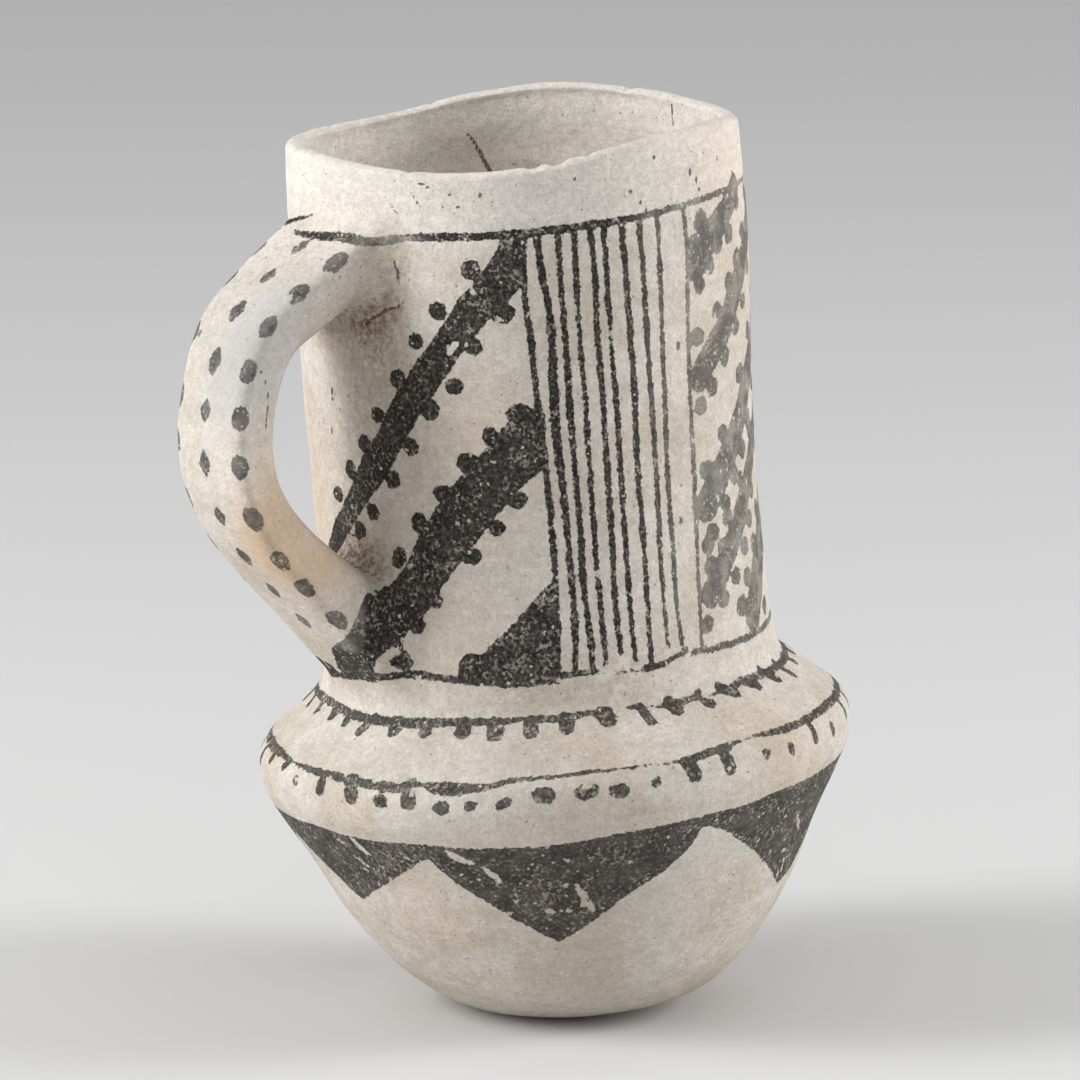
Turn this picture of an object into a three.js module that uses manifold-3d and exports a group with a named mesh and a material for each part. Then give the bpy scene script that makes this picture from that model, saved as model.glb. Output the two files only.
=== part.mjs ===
// A handled pottery drinking vessel, built by hand from coils of clay.
// A pinched base disc carries flattened coils, each lapped obliquely onto the one below, that
// round out into a bowl, turn in over a shoulder and rise as a tall neck to a thin rounded rim.
// A strap handle is let into two shallow sockets in the neck wall and luted round with clay.
// The vessel leans on its worn foot, so every piece is modelled upright and then settled.
//
// Millimetres and degrees, +Z up. The origin is on the floor under the foot, and the handle
// lies along -X. Angles round the vessel are measured from +X towards +Y.

import * as THREE from 'three';
import { mergeVertices } from 'three/addons/utils/BufferGeometryUtils.js';
import Module from 'manifold-3d';

const wasm = await Module();
wasm.setup();

// Outline of the vessel
const bellyRadius = 59.8;
const bellyHeight = 54.5;
const creaseRadius = 45.2;
const creaseHeight = 71.5;
const neckRadius = 44.5;
const mouthRadius = 45.7;
const rimHeight = 179;
const footSag = 1.6;
const lipInset = 0.5;

// Thickness of the clay. It thins out from the base over this many times the base disc's reach.
const baseThickness = 7.5;
const baseThinning = 1.6;
const wallThickness = 5.2;
const lipThickness = 3.9;

// Coils
const baseDiscRadius = 31;
const shoulderCoilsFrom = 0.25;
const bowlCoils = 5;
const shoulderCoils = 2;
const neckCoils = 8;
const rimCoilHeight = 11;
const coilLap = 4.6;
const jointGap = 0.3;

// Strap handle, along its centre line
const handleBelowRim = 17.3;
const handleAboveCrease = 12;
const handleReach = 74;
const strapWidth = 22.8;
const strapTopWidth = 28;
const strapFootWidth = 24.4;
const strapThickness = 10;
const strapFootThickness = 14.2;
const socketDepth = 2.8;
const strapSquareness = 2.6;
const wallRun = 9;

// Clay luted round the handle's two joints: how far it runs up the strap and out over the wall,
// on the side of the finger gap and, pressed in tighter, on the outer side
const lutingReach = 9;
const lutingSpread = 6;
const lutingOuterReach = 3.5;
const lutingOuterSpread = 2.5;
const lutingEdge = 0.9;
const lutingFullness = 0.15;
const lutingSunk = 2;

// How the hand-built vessel stands
const leanAngle = 5.2;
const leanTowards = 137;
const sway = 2.5;
const swayTowards = 143;
const swayEase = 0.55;
const rimWaves = 3;
const rimWave = 1.57;
const rimWavePeak = 44;
const rimTilt = 0.67;
const rimTiltPeak = 216;
const rimWaveDepth = 45;

// Fineness of the facets
const sides = 40;
const coilSteps = 3;
const neckCoilSteps = 2;
const baseSteps = 6;
const lipSteps = 4;
const strapSides = 16;
const strapSteps = 20;
const lutingSteps = 4;
const footprintHalvings = 14;
const cutterStepsPerCoil = 3;
const outlineDivisions = 1200;
const mergeWithin = 1e-4;

// Clay and slip
const slipWhite = { color: 0xcfc9be, roughness: 0.82, metalness: 0 };
const bodyClay = { color: 0xb9b0a2, roughness: 0.9, metalness: 0 };

const lerp = THREE.MathUtils.lerp;
const radians = THREE.MathUtils.degToRad;

// Outer outline, from the middle of the foot up to the start of the rounded lip.
// The bowl's points are shares of the belly's radius and height, and the shoulder's are shares
// of the way from belly to crease. The neck's first number is the share of the way from the
// crease's radius to the waist's, or from the waist's to the mouth's, and its second is the
// share of the neck's height.
const bowlShares = [
  [0.25, 0], [0.438, 0.055], [0.554, 0.147], [0.659, 0.275],
  [0.771, 0.459], [0.851, 0.642], [0.943, 0.826], [0.992, 0.94],
];
const shoulderShares = [[0.03, 0.12], [0.13, 0.27], [0.36, 0.44], [0.66, 0.66], [0.92, 0.88]];
const lowerNeckShares = [[0, 0.05], [0.15, 0.12], [1, 0.36]];
const upperNeckShares = [[0.5, 0.58], [1, 0.8]];

const neckHeight = rimHeight - creaseHeight;
const lipRadius = lipThickness / 2;
const outlineKnots = [
  [0, -footSag],
  ...bowlShares.map(([r, z]) => [r * bellyRadius, z * bellyHeight]),
  ...shoulderShares.map(([r, z]) => [
    lerp(bellyRadius, creaseRadius, r), lerp(bellyHeight, creaseHeight, z),
  ]),
  ...lowerNeckShares.map(([r, z]) => [lerp(creaseRadius, neckRadius, r), creaseHeight + z * neckHeight]),
  ...upperNeckShares.map(([r, z]) => [lerp(neckRadius, mouthRadius, r), creaseHeight + z * neckHeight]),
  [mouthRadius - lipInset, rimHeight - lipRadius],
];
const outline = new THREE.CatmullRomCurve3(outlineKnots.map(([r, z]) => new THREE.Vector3(r, z, 0)));
outline.arcLengthDivisions = outlineDivisions;
const outlineLength = outline.getLength();

// Distance along the outline at which a test on the point there first holds.
function firstDistance(test, start = 0) {
  const step = outlineLength / outlineDivisions;
  for (let distance = start; distance < outlineLength; distance += step) {
    if (test(outline.getPointAt(distance / outlineLength))) {
      return distance;
    }
  }
  return outlineLength;
}

const baseEdge = firstDistance((point) => point.x > baseDiscRadius);
const shoulderEdge = firstDistance(
  (point) => point.y > lerp(bellyHeight, creaseHeight, shoulderCoilsFrom));
const neckEdge = firstDistance((point) => point.y > creaseHeight);
const rimEdge = outlineLength - rimCoilHeight;

// Gap left along the outline so that two sloping edges lie the joint's gap apart
const edgeGap = jointGap * Math.hypot(1, wallThickness / coilLap);

// The clay is thickest at the base and thins again to the lip.
function thicknessAt(distance) {
  const fromBase = THREE.MathUtils.smoothstep(distance, 0, baseEdge * baseThinning);
  const towardsLip = THREE.MathUtils.smoothstep(distance, rimEdge - rimCoilHeight, outlineLength);
  return lerp(lerp(baseThickness, wallThickness, fromBase), lipThickness, towardsLip);
}

// Point of the wall at a distance along the outline and a depth below the outer face.
function wallPoint(distance, depth) {
  const share = THREE.MathUtils.clamp(distance / outlineLength, 0, 1);
  const point = outline.getPointAt(share);
  const tangent = outline.getTangentAt(share);
  const radius = Math.max(point.x - tangent.y * depth, 0);
  return new THREE.Vector2(share === 0 ? 0 : radius, point.y + tangent.x * depth);
}

function spread(from, to, steps) {
  return Array.from({ length: steps + 1 }, (_, i) => lerp(from, to, i / steps));
}

// Section of one flattened coil. Its lower and upper edges slope up inwards, so that each coil
// overlaps the one below on the inside of the wall.
function coilSection(low, high, steps) {
  const outside = spread(low, high, steps).map((distance) => wallPoint(distance, 0));
  const inside = spread(high + coilLap, low + coilLap, steps).map(
    (distance) => wallPoint(distance, thicknessAt(distance)));
  return [...outside, ...inside, outside[0]];
}

function baseSection(high) {
  const outside = spread(0, high, baseSteps).map((distance) => wallPoint(distance, 0));
  const inside = spread(high + coilLap, 0, baseSteps).map(
    (distance) => wallPoint(distance, thicknessAt(distance)));
  return [...outside, ...inside];
}

// The last coil ends in a round lip instead of a sloping edge.
function rimSection(low) {
  const outside = spread(low, outlineLength, neckCoilSteps).map((distance) => wallPoint(distance, 0));
  const centre = wallPoint(outlineLength, lipRadius);
  const lip = spread(0, Math.PI, lipSteps + 1).slice(1, -1).map((turn) => new THREE.Vector2(
    centre.x + lipRadius * Math.cos(turn), centre.y + lipRadius * Math.sin(turn)));
  const inside = spread(outlineLength, low + coilLap, neckCoilSteps).map(
    (distance) => wallPoint(distance, thicknessAt(distance)));
  return [...outside, ...lip, ...inside, outside[0]];
}

// A section turned round the upright axis, +Z up.
function turned(section) {
  return new THREE.LatheGeometry(section, sides).rotateX(Math.PI / 2);
}

// Everything inside the outline moved inwards by a depth, as one solid to cut with.
function vesselCore(depth) {
  const steps = cutterStepsPerCoil * (bowlCoils + shoulderCoils + neckCoils);
  const skin = spread(0, outlineLength, steps).map((distance) => wallPoint(distance, depth));
  const top = skin[skin.length - 1].y;
  return turned([...skin, new THREE.Vector2(0, top)]);
}

// Closed solid through rings of points, with a flat fan over each end.
function loft(rings) {
  const around = rings[0].length;
  const points = rings.flat();
  const faces = [];
  for (let ring = 0; ring + 1 < rings.length; ring++) {
    for (let i = 0; i < around; i++) {
      const next = (i + 1) % around;
      const a = ring * around + i;
      const b = ring * around + next;
      faces.push(a, b, b + around, a, b + around, a + around);
    }
  }
  const last = points.length - around;
  for (let i = 1; i + 1 < around; i++) {
    faces.push(0, i + 1, i, last, last + i, last + i + 1);
  }
  const geometry = new THREE.BufferGeometry().setFromPoints(points);
  geometry.setIndex(faces);
  return geometry;
}

// Centre line of the strap, as shares of its reach beyond the wall and of its height, from the
// upper joint round the bow to the lower joint. Both ends run on straight into the wall.
const strapShares = [
  [0, 1], [0.42, 0.92], [0.777, 0.83], [0.98, 0.66], [1, 0.5],
  [0.86, 0.365], [0.54, 0.22], [0.3, 0.13], [0, 0],
];
const bow = handleReach - neckRadius;
const handleTopHeight = rimHeight - handleBelowRim;
const handleFootHeight = creaseHeight + handleAboveCrease;
const strapKnots = strapShares.map(([out, up]) => new THREE.Vector3(
  -neckRadius - out * bow, 0, lerp(handleFootHeight, handleTopHeight, up)));
const intoWall = (from, next) => from.clone().add(from.clone().sub(next).setLength(wallRun));
const strapLine = new THREE.CatmullRomCurve3([
  intoWall(strapKnots[0], strapKnots[1]),
  ...strapKnots,
  intoWall(strapKnots[strapKnots.length - 1], strapKnots[strapKnots.length - 2]),
]);
const strapLength = strapLine.getLength();
const strapMiddle = 0.5;

// The strap is broadest where it leaves the rim and thickest where it comes back to the wall.
// It narrows and thickens over these shares of its length.
const strapNarrows = [0.05, 0.4];
const strapThickens = [0.55, 0.95];

function strapSize(share) {
  const fromTop = THREE.MathUtils.smoothstep(share, ...strapNarrows);
  const toFoot = THREE.MathUtils.smoothstep(share, ...strapThickens);
  return {
    width: lerp(lerp(strapTopWidth, strapWidth, fromTop), strapFootWidth, toFoot),
    thickness: lerp(strapThickness, strapFootThickness, toFoot),
  };
}

// Point on the strap, a rounded oblong across its centre line that is grown by a margin all
// round. A quarter turn round it faces the wall.
function strapPoint(share, turn, margin) {
  const across = new THREE.Vector3(0, 1, 0);
  const inwards = strapLine.getTangentAt(share).cross(across).normalize();
  const { width, thickness } = strapSize(share);
  const oblong = (value) => Math.sign(value) * Math.abs(value) ** (2 / strapSquareness);
  return strapLine.getPointAt(share)
    .addScaledVector(across, (width / 2 + margin) * oblong(Math.cos(turn)))
    .addScaledVector(inwards, (thickness / 2 + margin) * oblong(Math.sin(turn)));
}

const strapTurns = spread(0, 2 * Math.PI, strapSides).slice(0, -1);

function strapRing(share, margin) {
  return strapTurns.map((turn) => strapPoint(share, turn, margin));
}

function strap(margin) {
  return loft(spread(0, 1, strapSteps).map((share) => strapRing(share, margin)));
}

// Radius of the outer wall at a height above the belly
function wallRadius(height) {
  const low = wallPoint(shoulderEdge, 0);
  const distance = firstDistance((point) => point.y >= Math.max(height, low.y), shoulderEdge);
  return wallPoint(distance, 0).x;
}

// A point on the wall, sunk a little into it, at a distance round from the handle's middle line
function onWall(around, height, sunk) {
  const radius = wallRadius(height);
  const angle = around / radius;
  return new THREE.Vector3(-(radius - sunk) * Math.cos(angle), (radius - sunk) * Math.sin(angle), height);
}

// Share of the strap's length at which a line along its surface goes into the wall
function shareAtWall(turn, wallEnd) {
  let outside = strapMiddle;
  let inside = wallEnd;
  for (let i = 0; i < footprintHalvings; i++) {
    const between = (outside + inside) / 2;
    const point = strapPoint(between, turn, jointGap);
    if (Math.hypot(point.x, point.y) > wallRadius(point.z)) {
      outside = between;
    } else {
      inside = between;
    }
  }
  return inside;
}

// The clay pressed round a joint fills the corner between strap and wall with a hollow curve.
function lutingBlank(wallEnd) {
  const away = wallEnd === 0 ? 1 : -1;
  const lines = strapTurns.map((turn) => {
    const gapSide = (1 + Math.sin(turn)) / 2;
    const cornerShare = shareAtWall(turn, wallEnd);
    const topShare = cornerShare + away * lerp(lutingOuterReach, lutingReach, gapSide) / strapLength;
    return {
      corner: strapPoint(cornerShare, turn, jointGap),
      top: strapPoint(topShare, turn, jointGap + lutingEdge),
      raise: strapPoint(topShare, turn, lutingEdge).sub(strapPoint(topShare, turn, 0)),
      spread: lerp(lutingOuterSpread, lutingSpread, gapSide),
    };
  });
  const middle = lines.reduce((sum, { corner }) => sum + corner.z, 0) / lines.length;
  const foot = (line, sunk) => {
    const grown = 1 + line.spread / Math.hypot(line.corner.y, line.corner.z - middle);
    return onWall(line.corner.y * grown, middle + (line.corner.z - middle) * grown, sunk);
  };
  const hollow = spread(0, 1, lutingSteps).map((way) => lines.map((line) => {
    const raised = line.corner.clone().lerp(line.top, lutingFullness).add(line.raise);
    return foot(line, 0).multiplyScalar((1 - way) ** 2)
      .addScaledVector(raised, 2 * way * (1 - way))
      .addScaledVector(line.top, way ** 2);
  }));
  const rings = [lines.map((line) => foot(line, lutingSunk)), ...hollow];
  return loft(wallEnd === 0 ? rings : rings.reverse());
}

// Solids for cutting and joining
function toSolid(geometry) {
  geometry.deleteAttribute('normal');
  geometry.deleteAttribute('uv');
  const merged = mergeVertices(geometry, mergeWithin);
  const index = merged.index.array;
  const faces = [];
  for (let i = 0; i < index.length; i += 3) {
    const [a, b, c] = index.slice(i, i + 3);
    if (a !== b && b !== c && c !== a) {
      faces.push(a, b, c);
    }
  }
  const vertProperties = new Float32Array(merged.attributes.position.array);
  const triVerts = new Uint32Array(faces);
  return new wasm.Manifold(new wasm.Mesh({ numProp: 3, vertProperties, triVerts }));
}

function toGeometry(solid) {
  const mesh = solid.getMesh();
  const geometry = new THREE.BufferGeometry();
  geometry.setAttribute('position', new THREE.BufferAttribute(new Float32Array(mesh.vertProperties), 3));
  geometry.setIndex(new THREE.BufferAttribute(new Uint32Array(mesh.triVerts), 1));
  return geometry;
}

// The finished vessel leans from its foot, its axis bows a little on the way up, and the rim
// rises and dips as it was pinched. The foot is worn flat where it stands.
const leanAxis = new THREE.Vector3(-Math.sin(radians(leanTowards)), Math.cos(radians(leanTowards)), 0);
const swayDirection = new THREE.Vector3(Math.cos(radians(swayTowards)), Math.sin(radians(swayTowards)), 0);

function settle(geometry) {
  const position = geometry.attributes.position;
  const point = new THREE.Vector3();
  for (let i = 0; i < position.count; i++) {
    point.fromBufferAttribute(position, i);
    const angle = Math.atan2(point.y, point.x);
    const height = THREE.MathUtils.clamp(point.z / rimHeight, 0, 1);
    const bowed = sway * Math.sin(Math.PI * height ** swayEase);
    const rimShare = THREE.MathUtils.smoothstep(point.z, rimHeight - rimWaveDepth, rimHeight);
    const wave = rimWave * Math.cos(rimWaves * (angle - radians(rimWavePeak)))
      + rimTilt * Math.cos(angle - radians(rimTiltPeak));
    point.z += wave * rimShare;
    point.addScaledVector(swayDirection, bowed);
    point.applyAxisAngle(leanAxis, radians(leanAngle));
    position.setXYZ(i, point.x, point.y, Math.max(point.z, 0));
  }
  geometry.deleteAttribute('normal');
  geometry.deleteAttribute('uv');
  const settled = mergeVertices(geometry, mergeWithin);
  settled.computeVertexNormals();
  return settled;
}

const vessel = new THREE.Group();

function addPiece(name, geometry, clay) {
  const piece = new THREE.Mesh(settle(geometry), new THREE.MeshStandardMaterial(clay));
  piece.name = name;
  vessel.add(piece);
}

// Handle, with its ends let into the wall, and the sockets that take them
const handle = toSolid(strap(0)).subtract(toSolid(vesselCore(socketDepth)));
const sockets = toSolid(strap(jointGap)).subtract(toSolid(vesselCore(socketDepth + jointGap)));

function addCoil(name, section) {
  const ring = toSolid(turned(section));
  const cut = ring.subtract(sockets);
  addPiece(name, cut.volume() < ring.volume() ? toGeometry(cut) : turned(section), slipWhite);
}

// A row of equal coils between two edges of the outline, numbered upwards
function addCoils(name, from, to, count, steps) {
  const edges = spread(from, to, count);
  for (let i = 0; i < count; i++) {
    addCoil(`${name}_${i + 1}`, coilSection(edges[i] + edgeGap / 2, edges[i + 1] - edgeGap / 2, steps));
  }
}

addCoil('base_disc', baseSection(baseEdge - edgeGap / 2));
addCoils('bowl_coil', baseEdge, shoulderEdge, bowlCoils, coilSteps);
addCoils('shoulder_coil', shoulderEdge, neckEdge, shoulderCoils, coilSteps);
addCoils('neck_coil', neckEdge, rimEdge, neckCoils, neckCoilSteps);
addCoil('rim_coil', rimSection(rimEdge + edgeGap / 2));
addPiece('strap_handle', toGeometry(handle), slipWhite);

// Luting clay fills the corner between the strap and the wall, clear of both.
const strapWithGap = toSolid(strap(jointGap));
const wallWithGap = toSolid(vesselCore(-jointGap));

function addLuting(name, wallEnd) {
  const blank = toSolid(lutingBlank(wallEnd));
  addPiece(name, toGeometry(blank.subtract(strapWithGap).subtract(wallWithGap)), bodyClay);
}

addLuting('upper_handle_luting', 0);
addLuting('lower_handle_luting', 1);

export default vessel;
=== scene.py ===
"""A leaning, coil-built pottery drinking vessel with a strap handle, slipped white and painted.

Sizes in this script are millimetres on the upright vessel, and angles are degrees round it from
+X towards +Y. Every mesh is made in metres, in the frame of the CAD model.
"""

import math

import bmesh
import bpy
import numpy as np
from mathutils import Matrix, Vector


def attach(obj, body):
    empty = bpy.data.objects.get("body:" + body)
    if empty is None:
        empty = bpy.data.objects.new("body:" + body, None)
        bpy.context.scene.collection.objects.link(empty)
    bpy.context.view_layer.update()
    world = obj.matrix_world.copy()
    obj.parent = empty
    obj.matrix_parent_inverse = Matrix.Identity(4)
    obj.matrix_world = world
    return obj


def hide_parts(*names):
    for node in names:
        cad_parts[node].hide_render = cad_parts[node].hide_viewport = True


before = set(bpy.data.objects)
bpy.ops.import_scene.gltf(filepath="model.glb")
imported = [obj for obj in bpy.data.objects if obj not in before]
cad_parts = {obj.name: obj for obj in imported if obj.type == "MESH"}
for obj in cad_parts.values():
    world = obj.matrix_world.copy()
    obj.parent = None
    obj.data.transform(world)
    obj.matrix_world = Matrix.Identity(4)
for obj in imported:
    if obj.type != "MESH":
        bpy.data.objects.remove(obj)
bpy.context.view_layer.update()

MM = 0.001

# Outline of the vessel, as in the CAD model
BELLY_RADIUS = 59.8
BELLY_HEIGHT = 54.5
CREASE_RADIUS = 45.2
CREASE_HEIGHT = 71.5
NECK_RADIUS = 44.5
MOUTH_RADIUS = 45.7
RIM_HEIGHT = 179.0
FOOT_SAG = 1.6
LIP_INSET = 0.5
BASE_THICKNESS = 7.5
WALL_THICKNESS = 5.2
LIP_THICKNESS = 3.9
LIP_RADIUS = LIP_THICKNESS / 2
BASE_DISC_RADIUS = 31.0
BOWL_COILS = 5
SHOULDER_COILS = 2
NECK_COILS = 8
RIM_COIL_HEIGHT = 11.0
COIL_LAP = 4.6

# Strap handle
HANDLE_TOP_HEIGHT = RIM_HEIGHT - 17.3
HANDLE_FOOT_HEIGHT = CREASE_HEIGHT + 12
HANDLE_REACH = 74.0
STRAP_WIDTH = 22.8
STRAP_TOP_WIDTH = 28.0
STRAP_FOOT_WIDTH = 24.4
STRAP_THICKNESS = 10.0
STRAP_FOOT_THICKNESS = 14.2
STRAP_INNER_SQUARENESS = 3.4
STRAP_OUTER_SQUARENESS = 5.0
WALL_RUN = 9.0

ACROSS = np.array([0.0, 1.0, 0.0])

# How the vessel stands
LEAN_ANGLE = 5.2
LEAN_TOWARDS = 137.0
SWAY = 2.5
SWAY_TOWARDS = 143.0
RIM_WAVE = 1.57
RIM_WAVE_PEAK = 44.0
RIM_TILT = 0.67
RIM_TILT_PEAK = 216.0
RIM_WAVE_DEPTH = 45.0

# Clay luted round the handle's two joints: the width of its hollow curve on the side of the
# finger gap and, pressed in tighter, on the outer side
LUTING_INNER = 8.0
LUTING_OUTER = 3.5
LUTING_MARGIN = 1.0
LUTING_LIFT = 0.8
LUTING_TUCK = 0.05
LUTING_BACK_IN_STRAP = 1.2
LUTING_BACK_IN_WALL = 1.4
STRAP_SUNK = 1.4

# Distances from a joint between which the light on the wall goes over to the luting's, and the
# small step by which slopes are felt
BLEND_START = LUTING_INNER + 2
BLEND_END = LUTING_INNER + 5
PROBE = 0.05

# Camera of the photograph
CAMERA_DISTANCE = 2200.0
CAMERA_ELEVATION = 12.5
CAMERA_AZIMUTH = -37.0
CAMERA_LENS = 36 * 11030 / 1080
TARGET_RIGHT = -10.36
TARGET_HEIGHT = 94.28

# How far from a painted edge its distance is still worked out, how far the wall's paint runs out
# over the upper and the lower joint of the strap, and the height between those joints
PAINT_REACH = 4.0
UPPER_JOINT_REACH = 5.0
LOWER_JOINT_REACH = 8.5
STRAP_MIDDLE = RIM_HEIGHT / 2 + 20

# Fineness of the meshes
COLUMNS = 480
SPIN_STEPS = 60
OUTER_STEP = 0.66
INNER_STEP = 1.0
LIP_STEPS = 9
STRAP_ROWS = 180
STRAP_SAMPLES = 120
STRAP_COLUMNS = 96
LUTING_ROWS = 24
LUTING_COLUMNS = 168


def lerp(a, b, t):
    return a + (b - a) * t


def smoothstep(value, low, high):
    t = np.clip((value - low) / (high - low), 0, 1)
    return t * t * (3 - 2 * t)


class SmoothLine:
    """A smooth line through knots, read by the distance along it."""

    def __init__(self, knots, samples=60):
        knots = np.array(knots, float)
        ends = [2 * knots[0] - knots[1]], [2 * knots[-1] - knots[-2]]
        padded = np.vstack([ends[0], knots, ends[1]])
        t = np.linspace(0, 1, samples, endpoint=False)[:, None]
        pieces = []
        for p0, p1, p2, p3 in zip(padded, padded[1:], padded[2:], padded[3:]):
            d0, d1, d2 = (np.sqrt(np.linalg.norm(b - a)) for a, b in ((p0, p1), (p1, p2), (p2, p3)))
            leave = ((p1 - p0) / d0 - (p2 - p0) / (d0 + d1) + (p2 - p1) / d1) * d1
            arrive = ((p2 - p1) / d1 - (p3 - p1) / (d1 + d2) + (p3 - p2) / d2) * d1
            cubic = 2 * p1 - 2 * p2 + leave + arrive
            square = -3 * p1 + 3 * p2 - 2 * leave - arrive
            pieces.append(p1 + leave * t + square * t ** 2 + cubic * t ** 3)
        self.points = np.vstack([*pieces, knots[-1:]])
        steps = np.linalg.norm(np.diff(self.points, axis=0), axis=1)
        self.distances = np.concatenate([[0], np.cumsum(steps)])
        self.length = self.distances[-1]

    def at(self, distance):
        return np.stack([np.interp(distance, self.distances, c) for c in self.points.T], -1)

    def tangent(self, distance):
        reach = 0.15
        ahead = self.at(np.minimum(np.asarray(distance) + reach, self.length))
        behind = self.at(np.maximum(np.asarray(distance) - reach, 0))
        change = ahead - behind
        return change / np.linalg.norm(change, axis=-1, keepdims=True)


# Shares of the belly, of the way from belly to crease, and of the neck
BOWL_SHARES = [
    (0.25, 0), (0.438, 0.055), (0.554, 0.147), (0.659, 0.275),
    (0.771, 0.459), (0.851, 0.642), (0.943, 0.826), (0.992, 0.94),
]
SHOULDER_SHARES = [(0.03, 0.12), (0.13, 0.27), (0.36, 0.44), (0.66, 0.66), (0.92, 0.88)]
NECK_HEIGHT = RIM_HEIGHT - CREASE_HEIGHT

outline = SmoothLine([
    (0, -FOOT_SAG),
    *[(r * BELLY_RADIUS, z * BELLY_HEIGHT) for r, z in BOWL_SHARES],
    *[(lerp(BELLY_RADIUS, CREASE_RADIUS, r), lerp(BELLY_HEIGHT, CREASE_HEIGHT, z))
      for r, z in SHOULDER_SHARES],
    (CREASE_RADIUS, CREASE_HEIGHT + 0.05 * NECK_HEIGHT),
    (lerp(CREASE_RADIUS, NECK_RADIUS, 0.15), CREASE_HEIGHT + 0.12 * NECK_HEIGHT),
    (NECK_RADIUS, CREASE_HEIGHT + 0.36 * NECK_HEIGHT),
    (lerp(NECK_RADIUS, MOUTH_RADIUS, 0.5), CREASE_HEIGHT + 0.58 * NECK_HEIGHT),
    (MOUTH_RADIUS, CREASE_HEIGHT + 0.8 * NECK_HEIGHT),
    (MOUTH_RADIUS - LIP_INSET, RIM_HEIGHT - LIP_RADIUS),
])


def distance_at_height(height):
    rising = outline.points[:, 1] > 0.5
    return np.interp(height, outline.points[rising, 1], outline.distances[rising])


base_edge = float(np.interp(BASE_DISC_RADIUS, outline.points[:300, 0], outline.distances[:300]))
shoulder_edge = float(distance_at_height(lerp(BELLY_HEIGHT, CREASE_HEIGHT, 0.25)))
neck_edge = float(distance_at_height(CREASE_HEIGHT))
rim_edge = outline.length - RIM_COIL_HEIGHT


def thickness_at(distance):
    from_base = smoothstep(distance, 0, base_edge * 1.6)
    to_lip = smoothstep(distance, rim_edge - RIM_COIL_HEIGHT, outline.length)
    return lerp(lerp(BASE_THICKNESS, WALL_THICKNESS, from_base), LIP_THICKNESS, to_lip)


def wall_point(distance, depth):
    """Radius and height on the wall, at a depth under its outer face, and the outward normal."""
    point = outline.at(distance)
    tangent = outline.tangent(distance)
    normal = np.stack([tangent[..., 1], -tangent[..., 0]], -1)
    point = point - normal * np.asarray(depth)[..., None]
    point[..., 0] = np.maximum(point[..., 0], 0)
    return point, normal


def lattice_noise(points, size, seed):
    """Smooth noise between -1 and 1 that varies over about the given size."""
    scaled = points / size
    cell = np.floor(scaled).astype(np.int64)
    within = scaled - cell
    within = within ** 3 * (within * (within * 6 - 15) + 10)
    total = np.zeros(points.shape[:-1])
    for corner in range(8):
        offset = np.array([(corner >> axis) & 1 for axis in range(3)])
        mixed = ((cell + offset) * np.array([73856093, 19349663, 83492791])).sum(-1) + seed * 7919
        mixed = (mixed ^ (mixed >> 13)) * 1274126177 & 0xFFFFFFFF
        mixed = (mixed ^ (mixed >> 15)) & 0xFFFF
        weight = np.where(offset == 1, within, 1 - within).prod(-1)
        total += weight * (mixed / 32767.5 - 1)
    return total


def rim_rise(angle, height):
    """How far the uneven rim lifts a point, by its angle in radians and its height."""
    share = smoothstep(height, RIM_HEIGHT - RIM_WAVE_DEPTH, RIM_HEIGHT)
    wave = RIM_WAVE * np.cos(3 * (angle - math.radians(RIM_WAVE_PEAK)))
    tilt = RIM_TILT * np.cos(angle - math.radians(RIM_TILT_PEAK))
    return (wave + tilt) * share


def settle(points):
    """Upright points, in millimetres, to where they lie on the leaning vessel."""
    x, y, z = points[..., 0], points[..., 1], points[..., 2]
    angle = np.arctan2(y, x)
    height = np.clip(z / RIM_HEIGHT, 0, 1)
    bowed = SWAY * np.sin(np.pi * height ** 0.55)
    z = z + rim_rise(angle, z)
    x = x + bowed * math.cos(math.radians(SWAY_TOWARDS))
    y = y + bowed * math.sin(math.radians(SWAY_TOWARDS))
    towards = math.radians(LEAN_TOWARDS)
    lean = math.radians(LEAN_ANGLE)
    along = x * math.cos(towards) + y * math.sin(towards)
    across = -x * math.sin(towards) + y * math.cos(towards)
    along, z = along * math.cos(lean) + z * math.sin(lean), z * math.cos(lean) - along * math.sin(lean)
    x = along * math.cos(towards) - across * math.sin(towards)
    y = along * math.sin(towards) + across * math.cos(towards)
    return np.stack([x, y, np.maximum(z, 0)], -1)


# The wall as rows of points: up the outside, over the lip and down the inside
coil_edges = [0.0, base_edge]
for start, end, count in (
    (base_edge, shoulder_edge, BOWL_COILS),
    (shoulder_edge, neck_edge, SHOULDER_COILS),
    (neck_edge, rim_edge, NECK_COILS),
):
    coil_edges += [lerp(start, end, (i + 1) / count) for i in range(count)]
coil_names = [
    "base_disc",
    *[f"bowl_coil_{i + 1}" for i in range(BOWL_COILS)],
    *[f"shoulder_coil_{i + 1}" for i in range(SHOULDER_COILS)],
    *[f"neck_coil_{i + 1}" for i in range(NECK_COILS)],
    "rim_coil",
]


def rows_between(edges, step):
    """Distances along the outline that hold every edge, and the row number of each edge."""
    rows = [edges[0]]
    marks = [0]
    for low, high in zip(edges, edges[1:]):
        count = max(2, round((high - low) / step))
        rows += [lerp(low, high, (i + 1) / count) for i in range(count)]
        marks.append(len(rows) - 1)
    return np.array(rows), marks


outer_rows, outer_marks = rows_between([*coil_edges, outline.length], OUTER_STEP)
inner_edges = [0.0, *[edge + COIL_LAP for edge in coil_edges[1:]], outline.length]
inner_rows, inner_marks = rows_between(inner_edges, INNER_STEP)

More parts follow.
